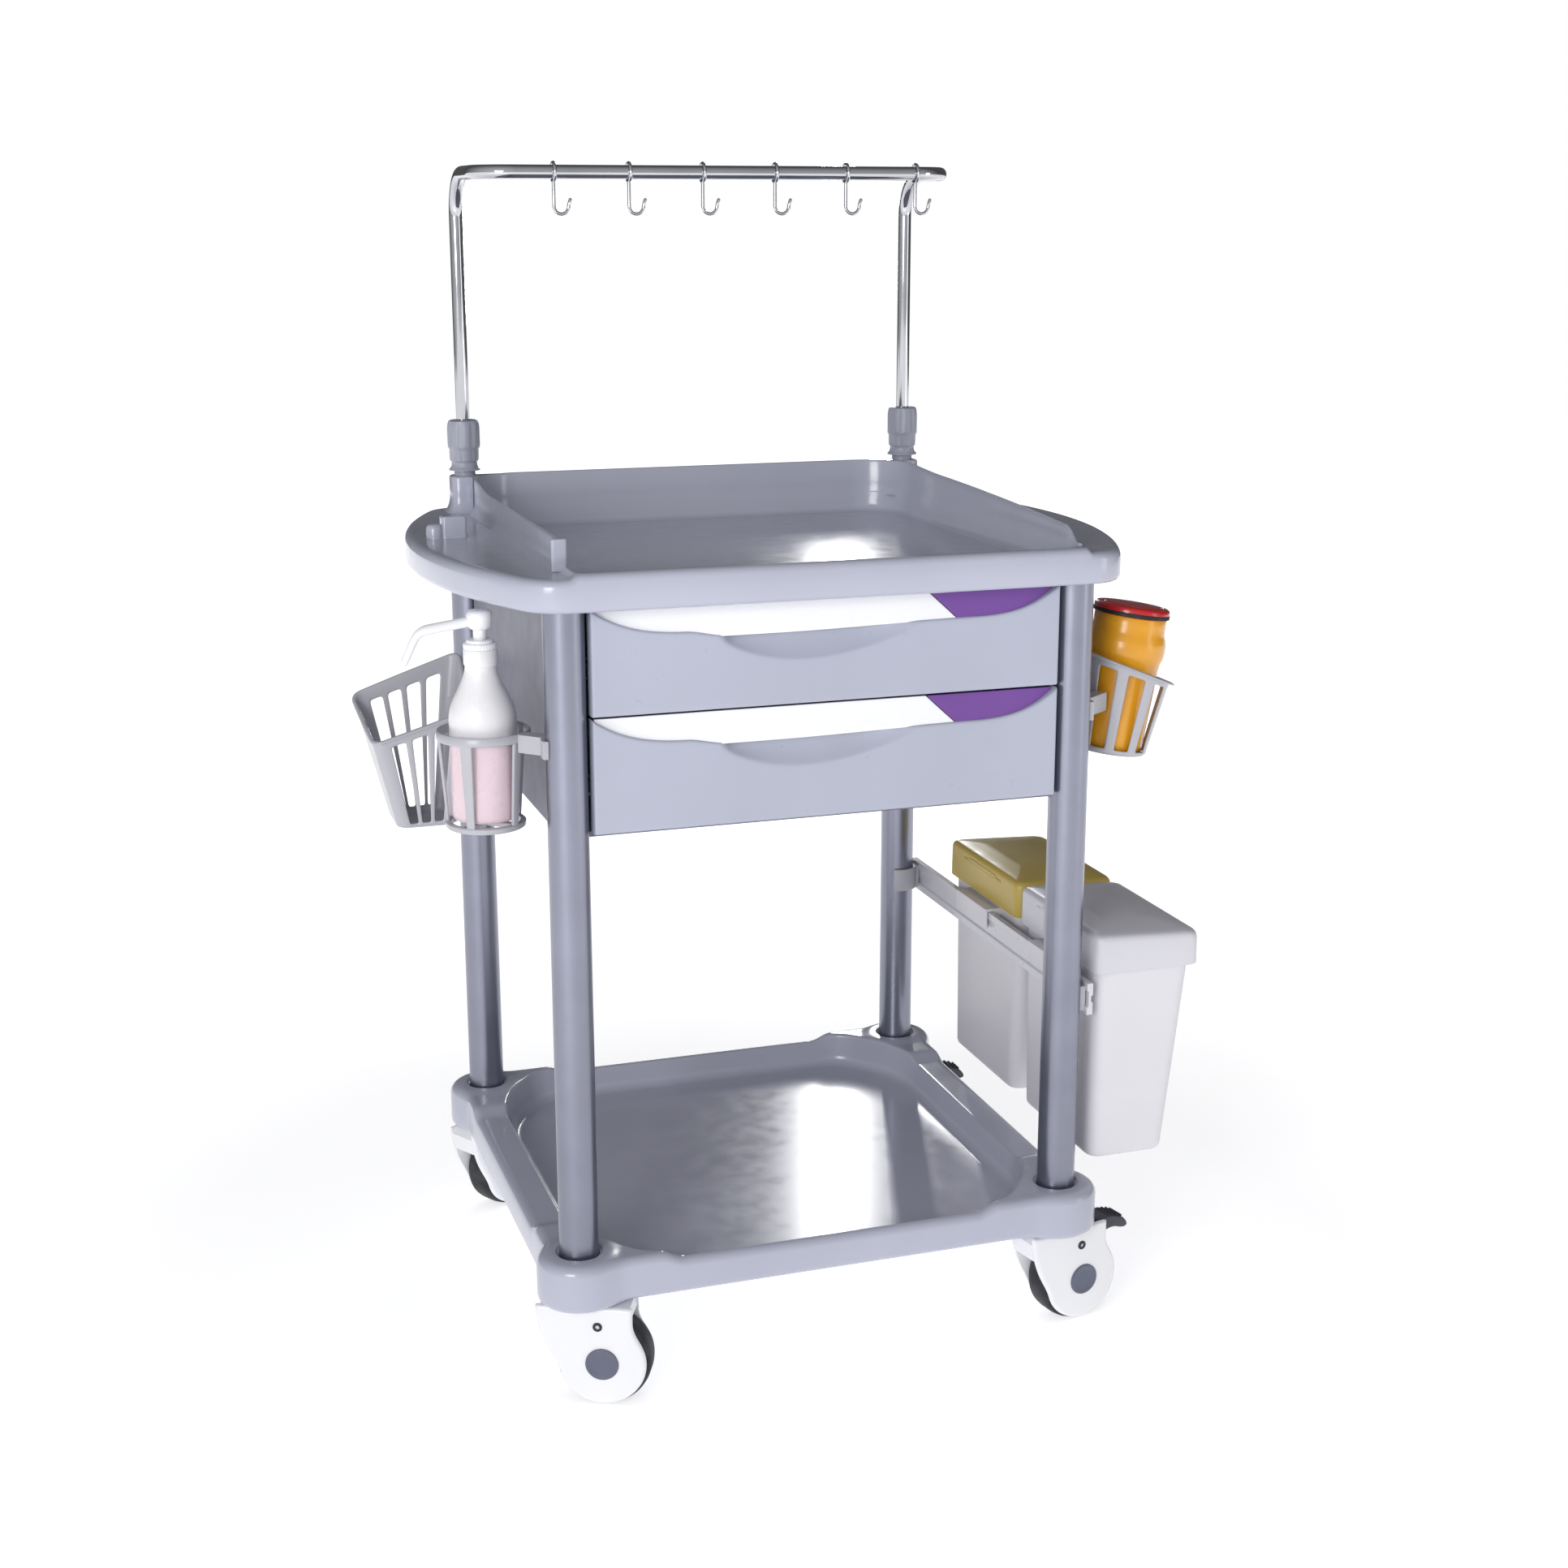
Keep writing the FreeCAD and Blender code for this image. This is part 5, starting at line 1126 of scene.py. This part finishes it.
def build_basket():
    """Flared basket with a rolled rim that falls outwards and forwards, slots, and a rounded foot."""
    y = 160.0
    base = cad("basket")[0][2]
    foot = (-380, -318, y - 32, y + 32)
    mouth = (-438, -286, y - 62, y + 52)
    normal = Matrix.Rotation(radians(-18), 3, "Y") @ Matrix.Rotation(radians(24), 3, "X") @ Vector((0, 0, 1))
    through = Vector((-358, y, base + 141))
    fine = 3
    walls = (("front", 7), ("right", 4), ("back", 9), ("left", 4))

    def ring_points(box, corner):
        x0, x1, y0, y1 = box
        sides = {"front": ((x0 + corner, y0), (x1 - corner, y0)),
                 "right": ((x1, y0 + corner), (x1, y1 - corner)),
                 "back": ((x1 - corner, y1), (x0 + corner, y1)),
                 "left": ((x0, y1 - corner), (x0, y0 + corner))}
        centres = {"front": (x1 - corner, y0 + corner, -90), "right": (x1 - corner, y1 - corner, 0),
                   "back": (x0 + corner, y1 - corner, 90), "left": (x0 + corner, y0 + corner, 180)}
        made, cells = [], []
        for wall, count in walls:
            a, b = np.array(sides[wall][0]), np.array(sides[wall][1])
            steps = count * fine
            weights = np.repeat([0.62 if cell % 2 == 0 else 1.38 for cell in range(count)], fine)
            stops = np.concatenate([[0], np.cumsum(weights) / weights.sum()])
            made += [tuple(a + (b - a) * t) for t in stops]
            cells += [(wall, i // fine) for i in range(steps)] + [(wall, -1)]
            cx, cy, start = centres[wall]
            turns = np.radians(start + np.array([18, 36, 54, 72]))
            made += [(cx + corner * cos(t), cy + corner * sin(t)) for t in turns]
            cells += [(wall, -1)] * 4
        return np.array(made), cells

    (p0, cells), (p1, _) = ring_points(foot, 9), ring_points(mouth, 12)
    lines = []
    for a, b in zip(p0, p1):
        start, end = Vector((a[0], a[1], base)), Vector((b[0], b[1], base + 232))
        share = normal.dot(through - start) / normal.dot(end - start)
        lines.append((start, start + (end - start) * share))
    centre = Vector((-349, y, base))
    rows = [[centre + (start - centre) * share + Vector((0, 0, lift)) for start, _ in lines]
            for share, lift in ((0.3, 1.5), (0.7, 1.5), (0.9, 1.7), (0.97, 3.2))]
    levels = [0.035, 0.06, 0.09, 0.16, 0.25, 0.35, 0.45, 0.55, 0.65, 0.74, 0.82, 0.87, 0.91, 0.94, 0.97, 1.0]

    def slots(cell, low, high):
        wall, number = cell
        top = 0.91 if wall in ("front", "back") else 0
        return number % 2 == 1 and number > 0 and low > 0.05 and high < top + 0.001

    points, faces = slotted_wall(lines, cells, rows, levels, slots)
    middle_top = sum((end for _, end in lines), Vector()) / len(lines)
    roll = []
    for away, down in ((1.2, 0.2), (2.4, -0.3), (3.0, -2.2)):
        row = []
        for start, end in lines:
            out = end - middle_top
            out -= normal * out.dot(normal)
            row.append(end + out.normalized() * away + normal * down)
        roll.append(row)
    carry_on(points, faces, roll)
    add_piece("basket_shell", (points, faces), "basket", thickness=3.0, divide=1, sharp=60)


def build_sharps():
    """Slatted cup with a sloping rim, the container that stands in it and the container's lid."""
    joint = JOINT["sharps_lid_turn"]
    lean = atan2(joint["axis"][0], joint["axis"][2])
    foot = [c / MM for c in joint["pos_m"]]
    home = Matrix.Translation(foot) @ Matrix.Rotation(lean, 4, "Y")
    foot_radius, rim_radius = 41, 53
    ribs, per = 10, 10
    count = ribs * per
    angles = np.arange(count) * 2 * pi / count
    slope = tan(radians(13))

    def rim_height(x):
        return 92 - slope * x

    lines = []
    for a in angles:
        foot_point = Vector((foot_radius * cos(a), foot_radius * sin(a), -3))
        rim_x = rim_radius * cos(a)
        rim_point = Vector((rim_x, rim_radius * sin(a), rim_height(rim_x)))
        lines.append((foot_point, rim_point))
    rows = [[Vector((r * cos(a), r * sin(a), z)) for a in angles]
            for r, z in ((12, -2), (30, -2), (38, -2), (40.4, -0.8))]
    levels = [0.05, 0.07, 0.1, 0.2, 0.3, 0.4, 0.5, 0.6, 0.7, 0.8, 0.88, 0.92, 0.95, 1.0]
    cells = [c % per for c in range(count)]

    def slots(cell, low, high):
        return cell < 6 and low > 0.06 and high < 0.93

    points, faces = slotted_wall(lines, cells, rows, levels, slots)
    carry_on(points, faces, [[(reach * cos(a), reach * sin(a), rim_height(reach * cos(a)) - drop)
                              for a in angles] for reach, drop in ((55.5, 0.1), (58, 0.6), (59.5, 1.6))])
    add_piece("sharps_holder_cup", moved((points, faces), home), "sharps_holder", thickness=2.2, divide=1,
              sharp=60)

    body = [(33, 0.4), (35.5, 1.2), (37, 3.5), (38, 40), (39.4, 92), (40.4, 99), (42.4, 104), (43, 109),
            (43, 118), (42.4, 122), (40.6, 127), (39.4, 131), (39.2, 138), (39, 146), (38.4, 147), (37, 147)]
    inside = [(37, 130), (40.6, 119), (40.6, 108), (37.2, 96), (35, 4), (33, 3), (0.5, 3)]
    add_piece("sharps_container_body", moved(lathe(body + inside, 96), home), "sharps_container", sharp=40)

    def grip(angles, z):
        return 1 - 0.018 * (0.5 - 0.5 * np.cos(28 * angles)) * (148.5 < z < 154.5)

    lid = [(0.5, 147.3), (40.4, 147.3), (41, 148), (41, 154.5), (40.2, 156.8), (38, 158.2), (34, 158.6),
           (33, 157.6), (31, 157.4), (30, 158.8), (20, 159.6), (0.5, 160)]
    add_piece("sharps_lid_cap", moved(lathe(lid, 168, swell=grip), home), "sharps_lid", sharp=40)
    # Black band round the lid's lower edge, in the tyre's black rubber: painted shade where the lid meets the
    # container.
    shade_band = [(38, 147.5), (41, 147.5), (41.5, 148), (41.5, 151.4), (41, 152), (38, 152)]
    add_piece("sharps_lid_shade_band", moved(lathe(shade_band, 168, True), home), "sharps_lid", False,
              MATERIALS["caster_tyre"], sharp=40)


# ---- kept CAD nodes ----

SHARP_CAD = ("cabinet_sides", "cabinet_back", "cabinet_floor", "slide_rails", "bin_rail", "accessory_clamps",
             "drawer_lower_box", "drawer_upper_box", "drawer_lower_runners", "drawer_upper_runners")


def finish_cad_nodes():
    """Own material on every carried-over node, and softened edges on the box-like ones."""
    for name, obj in frame["nodes"].items():
        material = MATERIALS[SLOT[name]]
        obj.data.materials.clear()
        obj.data.materials.append(material)
        if name in SHARP_CAD and not obj.hide_render:
            weld = obj.modifiers.new("weld", "WELD")
            weld.merge_threshold = 2e-6
            round_edges(obj, 0.8, 50)


# ---- stage ----

def area_light(name, place, target, size, power):
    data = bpy.data.lights.new(name, "AREA")
    data.shape = "RECTANGLE"
    data.size, data.size_y = size
    data.energy = power
    lamp = bpy.data.objects.new(name, data)
    lamp.location = place
    lamp.rotation_euler = (Vector(target) - Vector(place)).to_track_quat("-Z", "Y").to_euler()
    bpy.context.scene.collection.objects.link(lamp)


def build_world():
    """White surround for the camera; what lights the cart is bright low in front and dim overhead."""
    world = bpy.data.worlds.new("studio")
    world.use_nodes = True
    tree = world.node_tree

    def add(kind, **values):
        item = tree.nodes.new("ShaderNode" + kind)
        for key, value in values.items():
            item.inputs[key.replace("_", " ").title()].default_value = value
        return item

    plain = tree.nodes["Background"]
    plain.inputs["Color"].default_value = (1, 1, 1, 1)
    plain.inputs["Strength"].default_value = 1.0
    softbox = add("Background", color=(0.97, 0.98, 1.0, 1))
    place = add("TexCoord")
    toward_light = add("VectorMath")
    toward_light.operation = "DOT_PRODUCT"
    toward_light.inputs[1].default_value = Vector((-0.55, -0.8, -0.15)).normalized()
    glow = add("MapRange", from_min=-0.5, from_max=1.0, to_min=0.1, to_max=0.75)
    path, choose = add("LightPath"), add("MixShader")
    for source, target in ((place.outputs["Generated"], toward_light.inputs[0]),
                           (toward_light.outputs["Value"], glow.inputs["Value"]),
                           (glow.outputs["Result"], softbox.inputs["Strength"]),
                           (path.outputs["Is Camera Ray"], choose.inputs[0]),
                           (softbox.outputs[0], choose.inputs[1]), (plain.outputs[0], choose.inputs[2]),
                           (choose.outputs[0], tree.nodes["World Output"].inputs["Surface"])):
        tree.links.new(source, target)
    bpy.context.scene.world = world


def build_stage():
    """Pale floor, soft studio light and the camera."""
    mesh = bpy.data.meshes.new("floor")
    half = 9.0
    mesh.from_pydata([(-half, -half, 0), (half, -half, 0), (half, half, 0), (-half, half, 0)], [],
                     [(0, 1, 2, 3)])
    floor = bpy.data.objects.new("floor", mesh)
    bpy.context.scene.collection.objects.link(floor)
    n = Nodes("floor")
    tone = n.blend(n.spread(n.noise(1.5, 3), 0, 1), linear(244, 244, 246), linear(238, 238, 240))
    away = n.add("VectorMath", operation="LENGTH")
    n.link(n.place, away.inputs[0])
    n.finish(base_color=tone, roughness=0.7, emission_color=(1, 1, 1, 1),
             emission_strength=n.spread(away.outputs["Value"], 0.6, 1.0, 0.7, 2.2))
    mesh.materials.append(n.material)

    build_world()
    area_light("key", (-2.3, -2.9, 1.5), (0, 0, 0.75), (1.3, 1.3), 50)
    area_light("fill", (2.6, -2.2, 1.1), (0, 0, 0.5), (0.7, 1.6), 8)
    area_light("strip", (1.04, 2.6, 1.35), (0.1, 0, 0.4), (0.07, 0.9), 9)

    camera = bpy.data.cameras.new("camera")
    camera.lens = 51.2
    camera.sensor_width = 36
    obj = bpy.data.objects.new("camera", camera)
    obj.location = (-0.739, -2.316, 1.205)
    pitch, yaw, roll = radians(14.38), radians(18.5), radians(0.04)
    obj.rotation_euler = (pi / 2 - pitch, roll, -yaw)
    bpy.context.scene.collection.objects.link(obj)
    bpy.context.scene.camera = obj
    bpy.context.scene.view_settings.view_transform = "Standard"


build_base_tray()
build_worktop()
build_guard_rail()
for level_name in ("lower", "upper"):
    build_drawer_front(level_name)
    build_drawer_strip(level_name)
for end_name, _ in ENDS:
    for side_name, _ in SIDES:
        build_caster(end_name + "_" + side_name, side_name == "right")
build_infusion_frame()
build_bin_rail()
build_bin("front")
build_bin("back")
build_bottle()
build_basket()
build_sharps()
finish_cad_nodes()
build_stage()
